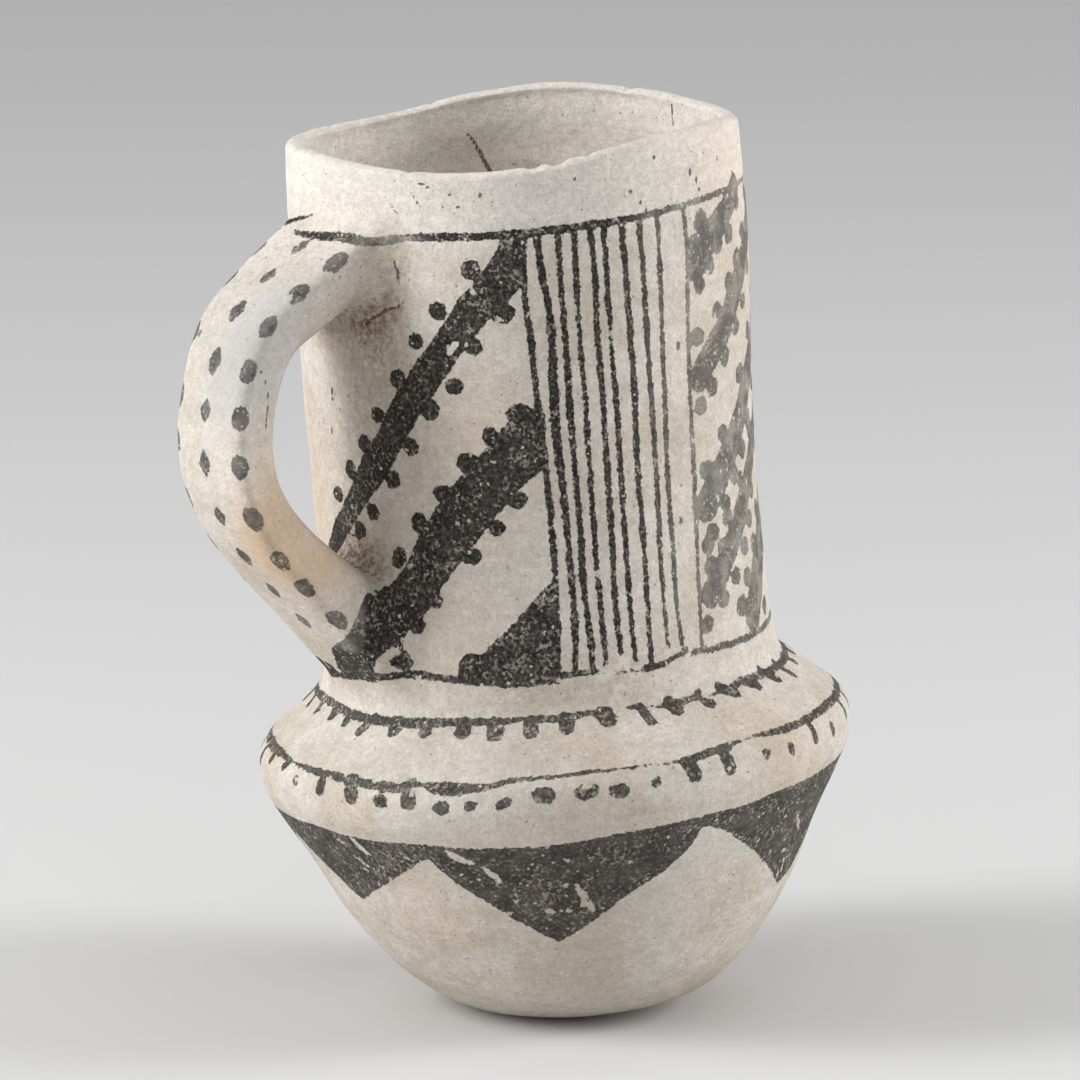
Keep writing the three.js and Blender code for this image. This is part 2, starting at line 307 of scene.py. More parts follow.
outer_section, outer_normal = wall_point(outer_rows, np.zeros(len(outer_rows)))
inner_section, inner_normal = wall_point(inner_rows, thickness_at(inner_rows))
lip_centre = wall_point(np.array([outline.length]), np.array([LIP_RADIUS]))[0][0]
lip_turns = np.linspace(0, math.pi, LIP_STEPS + 2)[1:-1]
lip_normal = np.stack([np.cos(lip_turns), np.sin(lip_turns)], -1)
lip_section = lip_centre + LIP_RADIUS * lip_normal

section = np.vstack([outer_section, lip_section, inner_section[::-1]])
section_normal = np.vstack([outer_normal, lip_normal, -inner_normal[::-1]])
row_distance = np.concatenate([outer_rows, np.full(LIP_STEPS, outline.length), inner_rows[::-1]])
first_inner = len(outer_rows) + LIP_STEPS
row_inside = np.arange(len(section)) >= first_inner
angles = np.arange(COLUMNS) * 2 * np.pi / COLUMNS


def around(radius, height):
    return np.stack([
        radius[:, None] * np.cos(angles), radius[:, None] * np.sin(angles),
        np.repeat(height[:, None], COLUMNS, 1)], -1)


# Chips knocked out of the lip: angle, half width and depth
RIM_CHIPS = [
    (238.5, 2.2, 0.5), (245.2, 2.6, 0.7), (253.5, 1.5, 0.45), (20, 1.8, 0.5), (302, 1.2, 0.3),
    (110, 1.6, 0.4), (331, 1.3, 0.35), (75, 1.1, 0.3), (160, 1.7, 0.4), (205, 1.4, 0.25),
]
LIP_REACH = 4.0
# Where pinching has left the lip lower, or higher below zero: angle, reach in degrees and depth
LIP_SAGS = [(322, 11, 1.1), (118, 28, -1.3), (285, 20, 0.3)]
SAG_REACH = 14.0


def scraped(points):
    """How far scraping and wear have sunk the outer face of the wall."""
    flattened = points * np.array([1, 1, 2.2])
    depth = 0.2 + 0.2 * lattice_noise(points, 24, 1)
    return depth + 0.06 * (1 + lattice_noise(flattened, 9, 2)) + 0.03 * (1 + lattice_noise(flattened, 3.5, 3))


def pressed(points):
    """How far fingers have sunk the inner face, between low ridges left by the coils."""
    coil_pitch = (rim_edge - neck_edge) / NECK_COILS
    ridges = 0.16 * (1 + np.cos(2 * np.pi * (row_distance[:, None] - neck_edge) / coil_pitch))
    return ridges + 0.3 * (1 + lattice_noise(points, 15, 4)) + 0.1 * (1 + lattice_noise(points, 5, 5))


def nibbled(points):
    """How far the lip is worn and chipped down."""
    upright_grain = points * np.array([1, 1, 0.2])
    depth = 0.22 * (1 + lattice_noise(upright_grain, 8, 6))
    depth += 0.08 * (1 + lattice_noise(upright_grain, 2.6, 7))
    across = np.degrees(np.arctan2(points[..., 1], points[..., 0]))
    for angle, half_width, chip in RIM_CHIPS:
        gap = np.abs((across - angle + 180) % 360 - 180) * math.radians(1) * MOUTH_RADIUS
        depth += chip * smoothstep(gap, half_width, half_width * 0.3)
    near_lip = np.clip((points[..., 2] - (RIM_HEIGHT - LIP_REACH)) / LIP_REACH, 0, 1) ** 2
    depth *= near_lip
    near_lip = np.clip((points[..., 2] - (RIM_HEIGHT - SAG_REACH)) / SAG_REACH, 0, 1) ** 2
    for angle, reach, sag in LIP_SAGS:
        depth += near_lip * sag * np.exp(-(((across - angle + 180) % 360 - 180) / reach) ** 2)
    return depth


def shaped_by_hand(points, normals):
    """Sinks the smooth wall here and there, as scraping, pinching and wear leave it."""
    depth = np.where(row_inside[:, None], pressed(points), scraped(points))
    shaped = points - normals * depth[..., None]
    shaped[..., 2] -= nibbled(points)
    return shaped


upright = shaped_by_hand(
    around(section[:, 0], section[:, 1]),
    np.stack([section_normal[:, :1] * np.cos(angles), section_normal[:, :1] * np.sin(angles),
              np.repeat(section_normal[:, 1:], COLUMNS, 1)], -1))
wall_points = settle(upright)


def unit(vectors):
    return vectors / np.maximum(np.linalg.norm(vectors, axis=-1, keepdims=True), 1e-12)


def grid_normals(points):
    """Normals of a grid of points that closes on itself along its rows."""
    upwards = np.gradient(points, axis=0)
    onwards = np.roll(points, -1, 1) - np.roll(points, 1, 1)
    return unit(np.cross(onwards, upwards))


# Centre line of the strap, as shares of its reach beyond the wall and of its height
STRAP_SHARES = [
    (0, 1), (0.42, 0.92), (0.777, 0.83), (0.98, 0.66), (1, 0.5),
    (0.86, 0.365), (0.54, 0.22), (0.3, 0.13), (0, 0),
]


def run_on(end, before):
    step = end - before
    return end + step / np.linalg.norm(step) * WALL_RUN


strap_knots = np.array([
    (-NECK_RADIUS - out * (HANDLE_REACH - NECK_RADIUS), 0, lerp(HANDLE_FOOT_HEIGHT, HANDLE_TOP_HEIGHT, up))
    for out, up in STRAP_SHARES])
strap_line = SmoothLine(np.vstack([
    run_on(strap_knots[0], strap_knots[1]), strap_knots, run_on(strap_knots[-1], strap_knots[-2])]))


def strap_half_sizes(share):
    """Half the strap's width and half its thickness at a share of its length."""
    from_top = smoothstep(share, 0.05, 0.4)
    to_foot = smoothstep(share, 0.55, 0.95)
    width = lerp(lerp(STRAP_TOP_WIDTH, STRAP_WIDTH, from_top), STRAP_FOOT_WIDTH, to_foot)
    return width / 2, lerp(STRAP_THICKNESS, STRAP_FOOT_THICKNESS, to_foot) / 2


# How much thicker the strap is on its inner side than in the CAD model, by shares of its length
STRAP_SWELL = [(0, 2.4), (0.12, 2.8), (0.2, 2.4), (0.32, 1.7), (0.6, 1.4), (0.8, 0.7), (0.92, 0)]


def strap_thickness(share, inwards):
    """Half the strap's thickness on its inner side, above zero, or its outer side."""
    swell = np.interp(share, *zip(*STRAP_SWELL))
    return strap_half_sizes(share)[1] + np.where(np.asarray(inwards) > 0, swell, 0)


def strap_squareness(outwards):
    """How square the strap's section is: its outer face, below zero, meets the sides in crisper edges."""
    return np.where(np.asarray(outwards) < 0, STRAP_OUTER_SQUARENESS, STRAP_INNER_SQUARENESS)


def strap_frame(along):
    """Middle of the strap at a distance along it, the way it runs there and the way to the wall."""
    tangent = strap_line.tangent(along)
    return strap_line.at(along), tangent, unit(np.cross(tangent, np.broadcast_to(ACROSS, tangent.shape)))


def strap_point(share, turn, margin=0.0):
    """Point on the strap, by share of its length and turn round it: 90 degrees faces the wall."""
    centre, _, inwards = strap_frame(np.asarray(share) * strap_line.length)
    half_width = strap_half_sizes(share)[0]
    half_thickness = strap_thickness(share, np.sin(turn))
    power = 2 / strap_squareness(np.sin(turn))
    sideways = (half_width + margin) * np.sign(np.cos(turn)) * np.abs(np.cos(turn)) ** power
    outwards = (half_thickness + margin) * np.sign(np.sin(turn)) * np.abs(np.sin(turn)) ** power
    return centre + ACROSS * sideways[..., None] + inwards * outwards[..., None]


def smoothed(points):
    """How far fingers have sunk the strap."""
    return 0.03 + 0.13 * (1 + lattice_noise(points, 14, 21)) + 0.06 * (1 + lattice_noise(points, 4, 22))


above_belly = outline.points[:, 1] > BELLY_HEIGHT
wall_radii, wall_heights = outline.points[above_belly].T
wall_slopes = np.gradient(wall_radii, wall_heights)


def wall_gap(points):
    """Distance of points from the scraped outer face of the wall, above the belly."""
    height = points[..., 2]
    slope = np.interp(height, wall_heights, wall_slopes)
    reach = np.hypot(points[..., 0], points[..., 1]) - np.interp(height, wall_heights, wall_radii)
    return reach / np.hypot(1, slope) + scraped(points)


def strap_gap(points):
    """Distance of points from the strap, and how far round to its inner side they lie, 0 to 1."""
    samples = np.linspace(0, strap_line.length, STRAP_SAMPLES)
    nearest = ((points[..., None, :] - strap_line.at(samples)) ** 2).sum(-1).argmin(-1)
    centre, tangent, _ = strap_frame(samples[nearest])
    along = np.clip(samples[nearest] + ((points - centre) * tangent).sum(-1), 0, strap_line.length)
    centre, _, inwards = strap_frame(along)
    half_width = strap_half_sizes(along / strap_line.length)[0]
    sideways = (points - centre) @ ACROSS
    outwards = ((points - centre) * inwards).sum(-1)
    half_thickness = strap_thickness(along / strap_line.length, outwards)
    u, v = np.abs(sideways) / half_width, np.abs(outwards) / half_thickness
    squareness = strap_squareness(outwards)
    size = np.maximum((u ** squareness + v ** squareness) ** (1 / squareness), 0.05)
    power = squareness - 1
    steepness = np.hypot(u ** power / half_width, v ** power / half_thickness) / size ** power
    inner_side = (1 + outwards / np.maximum(np.hypot(sideways, outwards), 0.1)) / 2
    return (size - 1) / np.maximum(steepness, 0.01) + smoothed(points), inner_side


def clay_gap(points):
    """Distance of points from wall, strap and the hollow curve of luting between them."""
    wall = wall_gap(points)
    strap, inner_side = strap_gap(points)
    reach = lerp(LUTING_OUTER, LUTING_INNER, inner_side)
    blend = np.maximum(reach - np.abs(wall - strap), 0)
    return np.minimum(wall, strap) - blend ** 2 / (4 * reach)


def steepest(gap, points):
    """The way in which a gap grows fastest."""
    ways = np.eye(3) * PROBE
    return np.stack([gap(points + way) - gap(points - way) for way in ways], -1) / (2 * PROBE)


def drawn_onto(gap, points, level, rounds=4):
    """Moves points until their gap is the given level."""
    for _ in range(rounds):
        slope = steepest(gap, points)
        miss = gap(points) - level
        points = points - slope * (miss / np.maximum((slope ** 2).sum(-1), 0.3))[..., None]
    return points


def clay_normals(points):
    """Normals on the leaning vessel of upright points of wall, luting or strap."""
    outwards = unit(steepest(clay_gap, points))
    first = unit(np.cross(outwards, np.broadcast_to((0.3, 0.5, 0.8), outwards.shape)))
    second = np.cross(outwards, first)
    return unit(np.cross(settle(points + first * PROBE) - settle(points - first * PROBE),
                         settle(points + second * PROBE) - settle(points - second * PROBE)))


def blended_normals(points, normals, gap_to_joint):
    """Takes over the luting's normals near a joint, so that no seam shows in the light."""
    near = gap_to_joint < BLEND_END
    share = smoothstep(gap_to_joint[near], BLEND_END, BLEND_START)[:, None]
    normals = normals.copy()
    normals[near] = unit(lerp(normals[near], clay_normals(points[near]), share))
    return normals


wall_normals = grid_normals(wall_points)
wall_normals[0] = (0, 0, -1)
wall_normals[-1] = (0, 0, 1)
to_strap = np.full(upright.shape[:2], np.inf)
strap_side = ~row_inside[:, None] & (upright[..., 0] < 0) & (upright[..., 2] > CREASE_HEIGHT)
strap_side &= upright[..., 2] < RIM_HEIGHT - LIP_REACH
to_strap[strap_side] = strap_gap(upright[strap_side])[0]
wall_normals = blended_normals(upright, wall_normals, to_strap)


def strap_meets_wall(turn, height, from_top):
    """Share of the strap's length at which each line along it comes to a height over the wall."""
    shares = np.linspace(0, 0.5, 500) if from_top else np.linspace(1, 0.5, 500)
    gap = wall_gap(strap_point(shares[:, None], turn[None, :]))
    return shares[(gap > height).argmax(0)]


def strap_grid():
    turn = np.arange(STRAP_COLUMNS) * 2 * np.pi / STRAP_COLUMNS
    first = strap_meets_wall(turn, -STRAP_SUNK, True)
    last = strap_meets_wall(turn, -STRAP_SUNK, False)
    way = np.linspace(0, 1, STRAP_ROWS)[:, None]
    share = lerp(first[None, :], last[None, :], way)
    turn = np.broadcast_to(turn, share.shape)
    return strap_point(share, turn, -smoothed(strap_point(share, turn)))


def luting_grid(from_top):
    """Rows of the clay luted round a joint: up its hollow face, then back through strap and wall."""
    turn = np.arange(LUTING_COLUMNS) * 2 * np.pi / LUTING_COLUMNS
    reach = lerp(LUTING_OUTER, LUTING_INNER, (1 + np.sin(turn)) / 2) + LUTING_MARGIN
    corner_share = strap_meets_wall(turn, 0, from_top)
    corner = strap_point(corner_share, turn)
    middle = corner[:, 2].mean()

    def on_wall(grown, sunk):
        height = middle + (corner[:, 2] - middle) * grown
        radius = np.interp(height, wall_heights, wall_radii)
        angle = np.pi - corner[:, 1] * grown / radius
        return np.stack([(radius - sunk) * np.cos(angle), (radius - sunk) * np.sin(angle), height], -1)

    growths = np.linspace(1, 3.2, 90)
    clear = np.stack([strap_gap(on_wall(growth, 0))[0] for growth in growths]) > reach
    grown = growths[clear.argmax(0)]
    nearby = np.arange(-4, 5)
    grown = np.stack([np.roll(grown, shift) for shift in nearby]).mean(0)
    top_share = strap_meets_wall(turn, reach, from_top)
    top = strap_point(top_share, turn)
    foot = on_wall(grown, 0)
    lifted = lerp(strap_point(corner_share, turn, LUTING_LIFT), (top + foot) / 2, 0.3)
    way = np.linspace(0, 1, LUTING_ROWS)[:, None, None]
    net = foot * (1 - way) ** 2 + lifted * 2 * way * (1 - way) + top * way ** 2
    level = -LUTING_TUCK * smoothstep(np.abs(2 * way[..., 0] - 1), 0.7, 1.0)
    net = drawn_onto(clay_gap, net, level)
    tucked = [strap_point(share, turn, -LUTING_BACK_IN_STRAP) for share in (top_share, corner_share)]
    tucked.append(on_wall(grown, LUTING_BACK_IN_WALL))
    return np.concatenate([net, np.stack(tucked)])


# Paint. Every stroke is given by places on the wall: the angle round it and the height up it,
# with the rise of the uneven rim left in.
def wall_distance(angle, height):
    """Outline distance of painted places."""
    level = np.asarray(height, float)
    for _ in range(3):
        level = height - rim_rise(np.radians(angle), level)
    return distance_at_height(level)


def smooth(points, pieces=5):
    """A smooth run through given places."""
    return [tuple(point) for point in SmoothLine(points, pieces).points]


class Canvas:
    """Points of the outer wall, each with its distance in millimetres to the edge of the paint."""

    def __init__(self, points):
        self.shape = points.shape[:-1]
        self.angle = (np.degrees(np.arctan2(points[..., 1], points[..., 0])) % 360).ravel()
        self.distance = distance_at_height(points[..., 2]).ravel()
        self.arc = np.radians(np.interp(self.distance, outline.distances, outline.points[:, 0]))
        self.edge = np.full(self.angle.shape, PAINT_REACH)

    def near(self, places, reach):
        """Points near some places, and their offsets in millimetres from the first of them."""
        first_angle, first_distance = places[0]
        turns = [(angle - first_angle + 180) % 360 - 180 for angle, _ in places]
        rises = [distance - first_distance for _, distance in places]
        margin = reach + PAINT_REACH
        along = self.distance - first_distance
        level = np.nonzero((along > min(rises) - margin) & (along < max(rises) + margin))[0]
        turn = (self.angle[level] - first_angle + 180) % 360 - 180
        arc = self.arc[level]
        close = (turn * arc > min(turns) * arc - margin) & (turn * arc < max(turns) * arc + margin)
        picked = level[close]
        corners = [(turn_ * self.arc[picked], rise) for turn_, rise in zip(turns, rises)]
        return picked, turn[close] * self.arc[picked], along[picked], corners

    def put(self, picked, gap, erase=False):
        if erase:
            self.edge[picked] = np.maximum(self.edge[picked], -gap)
        else:
            self.edge[picked] = np.minimum(self.edge[picked], gap)

    def ring(self, points):
        """A line drawn round the wall through (angle, height, width) points."""
        knots = np.array(smooth(points))
        turn = (self.angle - knots[0, 0]) % 360 + knots[0, 0]
        drawn = turn < knots[-1, 0]
        height, width = (np.interp(turn, knots[:, 0], knots[:, i]) for i in (1, 2))
        gap = np.abs(self.distance - wall_distance(turn, height)) - width / 2
        self.put(drawn, gap[drawn])

    def stripe(self, points):
        """A line drawn down the wall through (angle, height, width) points, highest first."""
        knots = np.array(smooth(points))[::-1]
        level = wall_distance(knots[:, 0], knots[:, 1])
        turn = (self.angle - knots[0, 0] + 180) % 360 - 180 + knots[0, 0]
        centre, width = (np.interp(self.distance, level, knots[:, i]) for i in (0, 2))
        beyond = np.maximum(level[0] - self.distance, self.distance - level[-1])
        gap = np.maximum(np.abs(turn - centre) * self.arc - width / 2, beyond)
        close = gap < PAINT_REACH
        self.put(close, gap[close])

    def line(self, points, erase=False):
        """A brush line through (angle, height, width) points."""
        for (angle0, height0, width0), (angle1, height1, width1) in zip(points, points[1:]):
            places = [(angle0, wall_distance(angle0, height0)), (angle1, wall_distance(angle1, height1))]
            picked, x, y, corners = self.near(places, max(width0, width1) / 2)
            run, rise = corners[1]
            way = np.clip((x * run + y * rise) / np.maximum(run ** 2 + rise ** 2, 1e-9), 0, 1)
            gap = np.hypot(x - way * run, y - way * rise) - lerp(width0, width1, way) / 2
            self.put(picked, gap, erase)

    def dot(self, angle, height, across, along, slant=0.0):
        """An oval touch of the brush, with its half sizes in millimetres and its slant in degrees."""
        picked, x, y, _ = self.near([(angle, wall_distance(angle, height))], max(across, along))
        c, s = math.cos(math.radians(slant)), math.sin(math.radians(slant))
        gap = (np.hypot((x * c + y * s) / across, (y * c - x * s) / along) - 1) * min(across, along)
        self.put(picked, gap)

    def area(self, points):
        """A filled shape with straight sides through (angle, height) points."""
        places = [(angle, wall_distance(angle, height)) for angle, height in points]
        picked, x, y, corners = self.near(places, 0)
        inside = np.zeros(len(picked), bool)
        gap = np.full(len(picked), PAINT_REACH)
        for (x0, y0), (x1, y1) in zip(corners, corners[1:] + corners[:1]):
            run, rise = x1 - x0, y1 - y0
            way = np.clip(((x - x0) * run + (y - y0) * rise) / np.maximum(run ** 2 + rise ** 2, 1e-9), 0, 1)
            gap = np.minimum(gap, np.hypot(x - x0 - way * run, y - y0 - way * rise))
            if rise:
                inside ^= ((y0 > y) != (y1 > y)) & (x < x0 + run * (y - y0) / rise)
        self.put(picked, np.where(inside, -gap, gap))


def turned_on(points, turn, squeeze=1.0, pivot=0.0):
    """Places moved on round the wall, and drawn together towards a pivot angle."""
    return [(pivot + (point[0] - pivot) * squeeze + turn, *point[1:]) for point in points]


# The lines that frame the neck, and the two lines with hanging dabs under them
UPPER_LINE = [
    (150, 163.0, 1.2), (159, 163.9, 1.3), (168, 165.0, 1.4), (175, 165.3, 1.3), (183, 165.6, 1.4),
    (192, 165.6, 1.6), (199, 164.8, 1.7), (205, 165.3, 1.6), (217, 165.3, 1.6), (230, 165.1, 1.7),
    (250, 165.1, 1.6), (265, 165.0, 1.4), (280, 165.2, 1.2), (300, 165.3, 1.2), (316, 164.8, 1.2),
    (345, 164.6, 1.3),
    (380, 165.3, 1.5), (420, 164.8, 1.4), (460, 165.4, 1.5), (490, 164.4, 1.6), (510, 163.5, 1.5),
]
LOWER_LINE = [
    (156, 76.3, 1.4), (168, 76, 1.6), (180, 76.6, 1.6), (186, 77.2, 1.6), (190, 77.6, 1.7), (197, 77.8, 1.6),
    (205, 77.3, 1.5), (210, 76.9, 1.5), (222, 76, 1.5), (232, 75.8, 1.6), (237, 76.6, 1.4), (246, 76.6, 1.2),
    (258, 75.7, 1.3), (265, 76, 1.4), (269, 76.9, 1.1), (273, 76.7, 1.2), (281, 76.2, 1.4), (291, 75.8, 1.4),
    (305, 75.6, 1.4), (315, 76, 1.4), (340, 76.8, 1.3), (380, 76.2, 1.4), (430, 76.9, 1.5),
    (480, 76.3, 1.4), (516, 76.3, 1.4),
]
NECK_BASE_LINE = [
    (148, 68.8, 1.6), (164, 69, 1.8), (176, 68.3, 2.2), (184, 68.1, 2.1), (194, 68.2, 2.4), (203, 68.4, 2.2),
    (211, 68.8, 1.7), (219, 68.6, 1.7), (229, 68.9, 1.2), (233, 68.5, 1.8), (238, 68.6, 1.8),
    (242, 68.9, 1.3), (255, 68.7, 0.9), (259, 68.2, 0.7), (264, 68.1, 1.6), (269, 68.1, 1.6),
    (275, 67.9, 0.8), (283, 68.1, 1.2), (288, 68.3, 1.7), (297, 67.9, 1.8), (312, 67.7, 1.8),
    (350, 68.4, 1.7), (400, 68.2, 1.9), (450, 68.5, 1.6), (480, 68.6, 1.8), (508, 68.8, 1.6),
]
RIDGE_LINE = [
    (149, 59.9, 2.2), (157, 59.9, 2.0), (161, 59.9, 1.7), (167, 59.5, 0.8), (173, 59.3, 0.9),
    (178, 59.2, 1.5), (185, 59, 1.7), (192, 58.6, 1.7), (198, 58.3, 2.0), (202, 58.1, 2.0),
    (206, 58.9, 0.6), (208.5, 58.5, 2.2), (212, 58.3, 2.9), (216, 58.2, 2.3), (221, 58.5, 1.6),
    (225, 59.3, 1.1), (234, 59.4, 1.0), (241, 59.6, 1.2), (248, 59.4, 0.6), (256, 59.2, 0.6),
    (260, 59.1, 1.3), (265, 59.4, 1.9), (269.5, 59.6, 2.3), (273, 60, 0.8), (277.5, 60.1, 0.8),
    (280, 59.9, 1.4), (292, 59.5, 1.6), (302, 59.6, 1.9), (321, 59.4, 1.6), (350, 59.6, 1.4),
    (400, 59.8, 1.5), (450, 59.5, 1.6), (500, 59.8, 1.3), (509, 59.9, 2.2),
]

STRAY_MARK = [(159.6, 164.6, 0.8), (167.1, 167.1, 0.9), (175, 168.6, 0.4)]

# Dabs hanging from a line: angle, width, height of the lower end, and how far the brush slid
NECK_BASE_DABS = [
    (149, 1.8, 65.8, 2), (158.4, 2.1, 65.9, 1.5), (167.8, 2.3, 65.9, 1.5), (175.2, 1.9, 65.8, 1.5),
    (184.1, 2.8, 64.9, -2), (193.5, 2.9, 65.3, 0), (202, 3.3, 65.3, 0.5), (212.1, 3.6, 65.3, 0),
    (219.9, 3.7, 64.9, 0.5), (228.6, 3.4, 65, 0), (236.9, 3.3, 65.2, 0), (246.5, 3.9, 65.4, 1),
    (256.4, 2.3, 64.8, 1), (263.8, 3.3, 65.5, 1), (272.9, 3.2, 65.3, 1), (280.9, 3.3, 65.5, 3),
    (289.7, 3, 65.5, 3), (299.1, 3.1, 65, 2.5), (307.8, 2.2, 64.4, 2), (317.2, 2.2, 65.2, 2),
]
RIDGE_DABS = [
    (158, 2.4, 57.2, 0), (166.4, 2.1, 57.4, -1), (181.6, 2.6, 54.9, -0.5), (189.9, 3.6, 54.4, 1),
    (203.9, 3.4, 54.2, 0), (260.4, 3.2, 54.4, 1), (268.6, 3.0, 54.5, 0.5), (294.1, 2.0, 54.6, 0),
    (313.6, 1.9, 54.9, 0),
]
# Each line's dabs, the height at which they start, and how they go on round the hidden side: first
# and last angle, count, and (width, lower end, slide) of each
HANGING_DABS = [
    (NECK_BASE_DABS, 68.4, (326, 500, 21, (2.9, 65.3, 0.5))),
    (RIDGE_DABS, 58.8, (321.5, 510, 25, (2.5, 54.8, 0))),
]
# Dabs clear of the ridge line: angle, height, half width and half height
RIDGE_DOTS = [
    (172.5, 56.7, 1.1, 1.2), (197.7, 55.5, 1.9, 1.4), (203.9, 55.4, 1.9, 1.3), (210.8, 54.6, 1.95, 1.5),
    (216.8, 55.1, 1.5, 1.1), (223.2, 55.1, 1.7, 1.0), (231, 56.3, 2.3, 1.75), (239.2, 56.3, 2.5, 1.6),
    (245.4, 55.7, 2.2, 1.5), (252.8, 56.2, 1.2, 0.9), (278.2, 56.7, 1.2, 1.2), (285.5, 56, 1.1, 1.5),
    (302.4, 55.8, 1.1, 1.7),
]

# Stripes of a stripe panel: (angle, height, width) from the top line to the bottom one
STRIPES = [
    [(234.9, 165, 1.3), (234.6, 158, 1.3), (234.4, 151.6, 1.2), (235.1, 144.9, 1.4), (235.6, 136, 1.4),
     (236.4, 124, 1.6), (237.1, 110, 1.4), (237.3, 98, 1.3), (237.1, 90, 1.2), (236.3, 77, 1.2)],
    [(238.2, 165, 1.5), (238.8, 158, 1.5), (239.9, 151, 1.5), (240.4, 144, 1.6), (240.1, 136, 1.9),
     (240, 126, 1.9), (240.8, 113, 1.5), (241.3, 99, 1.3), (241.2, 86, 1.4), (240.6, 77, 1.3)],
    [(243.5, 165, 1.5), (243.5, 156, 1.3), (243.7, 146, 1.2), (243.8, 134, 1.6), (244, 121, 1.3),
     (244.5, 106, 1.4), (244.3, 95, 1.4), (244.9, 84, 1.3), (244.9, 77, 1.2)],
    [(247.8, 165, 1.3), (247.4, 152, 1.3), (247.3, 144, 1.2), (247.8, 132, 1.2), (248, 115, 1.3),
     (248, 98, 1.2), (248.3, 86, 1.3), (248.6, 77.5, 1.1)],
    [(251.8, 165, 1.3), (252.2, 156, 1.4), (252, 145, 1.3), (252.5, 130, 1.3), (252.7, 113, 1.3),
     (252.5, 98, 1.2), (252.1, 88, 1.2), (252.9, 77, 1.1)],
    [(255.5, 165, 1.2), (255.4, 152, 1.1), (255.5, 141, 1.0), (256, 130, 1.3), (256.3, 115, 1.2),
     (256.2, 98, 1.2), (256, 88, 1.1), (256.4, 76, 1.1)],
    [(260.4, 165, 1.4), (260.6, 152, 1.4), (260.9, 141, 1.4), (261.3, 131, 1.5), (261.2, 117, 1.3),
     (261.2, 98, 1.3), (260.8, 86, 1.1), (260.7, 76, 1.2)],
    [(265.4, 165, 1.3), (265.6, 150, 1.2), (265.8, 138, 1.3), (266.2, 128, 1.3), (266.7, 115, 1.3),
     (266, 99, 1.1), (265.6, 88, 1.0), (265.8, 78.5, 0.9)],
    [(271, 165, 1.1), (270.5, 151, 1.1), (270.2, 140, 1.0), (270.4, 127, 1.2), (270.1, 112, 1.3),
     (270, 99, 1.2), (269.5, 88, 1.1), (270.1, 78, 1.0)],
    [(279.8, 165, 1.1), (280, 158, 1.1), (279.3, 147, 1.1), (278.9, 134, 1.1), (279.2, 116, 1.2),
     (278.6, 105, 1.2), (277.6, 93, 1.1), (276.7, 80, 1.0), (276.7, 76.5, 1.0)],
]
# Where the three stripe panels start, measured from the first
STRIPE_TURNS = (0, 120, 222)

# Slanting bands of the front panel: the upper edge and the lower edge as (angle, height) points,
# from the right end to the left, then the dots on them as angle, height, half width, half height
FRONT_BANDS = [
    ([(229.6, 164.8), (226.3, 160), (218, 153), (211.8, 146.5), (206.3, 141.6), (198.7, 134.4),
      (192.3, 127), (186, 121.5), (181.5, 117), (174, 109.8), (169.7, 106.7), (164, 101)],
     [(234.6, 165), (233.8, 155.8), (230.4, 152.1), (224.4, 147.9), (216.9, 141.5), (210.5, 135.1),
      (203.9, 128.6), (198.6, 122.9), (192.4, 116.6), (186.6, 112.5), (177.4, 105.6), (168.5, 98.2),
      (163, 93)],
     [(221.4, 158.7, 2.1, 2.2), (212.2, 150.7, 2.0, 2.0), (205.4, 144.7, 1.8, 1.7), (199.2, 137, 2.0, 1.9),
      (191.8, 129.6, 1.6, 1.8), (186.3, 123.3, 2.0, 1.9), (179.5, 117.5, 1.9, 2.1), (172.3, 112, 2.0, 1.6),
      (229.2, 149.6, 2.3, 2.0), (220.8, 143.3, 1.9, 1.8), (215.1, 135.7, 1.9, 1.7), (208, 130.9, 2.1, 2.2),
      (201.6, 123.5, 1.8, 1.9), (194.8, 116.6, 2.0, 1.9), (187.1, 109.8, 1.9, 1.8),
      (181.4, 105.3, 1.8, 2.1)]),
    ([(235.2, 130), (233, 131), (227.6, 127.5), (220.5, 121.8), (215, 117.6), (208.1, 112), (201.6, 105),
      (196.5, 98.8), (191, 94), (186.5, 89.5), (182, 84.5), (178.5, 80), (175.5, 76.3)],
     [(236.3, 118.2), (230.5, 114.7), (223.8, 109.4), (217.2, 103.7), (209.5, 97.1), (204.5, 91.8),
      (199, 87.2), (194.8, 84), (192, 81), (190, 78.5), (188.5, 76)],
     [(230.9, 129.4, 2.5, 2.2), (223.6, 125.1, 1.8, 2.2), (217.2, 120.2, 2.4, 2.3), (209.6, 114.1, 1.9, 1.8),
      (202.2, 108.2, 2.0, 2.1), (195.2, 101, 1.7, 2.3), (229.2, 112.4, 1.9, 2.0), (223.4, 107, 1.8, 1.8),
      (216.2, 101.5, 2.0, 1.9), (205.3, 92.7, 1.8, 1.8), (199.8, 87.8, 1.9, 1.8),
      (196.3, 80.6, 1.7, 1.7), (171.5, 78, 2.6, 2.0)]),
]
FRONT_SHAPES = [
    [(237.4, 97), (235.2, 94.8), (233, 93.2), (224, 86.4), (217, 81.9), (213.3, 82.3), (210.8, 80.4),
     (210, 77.4), (221, 75.2), (236.4, 75.2)],
]

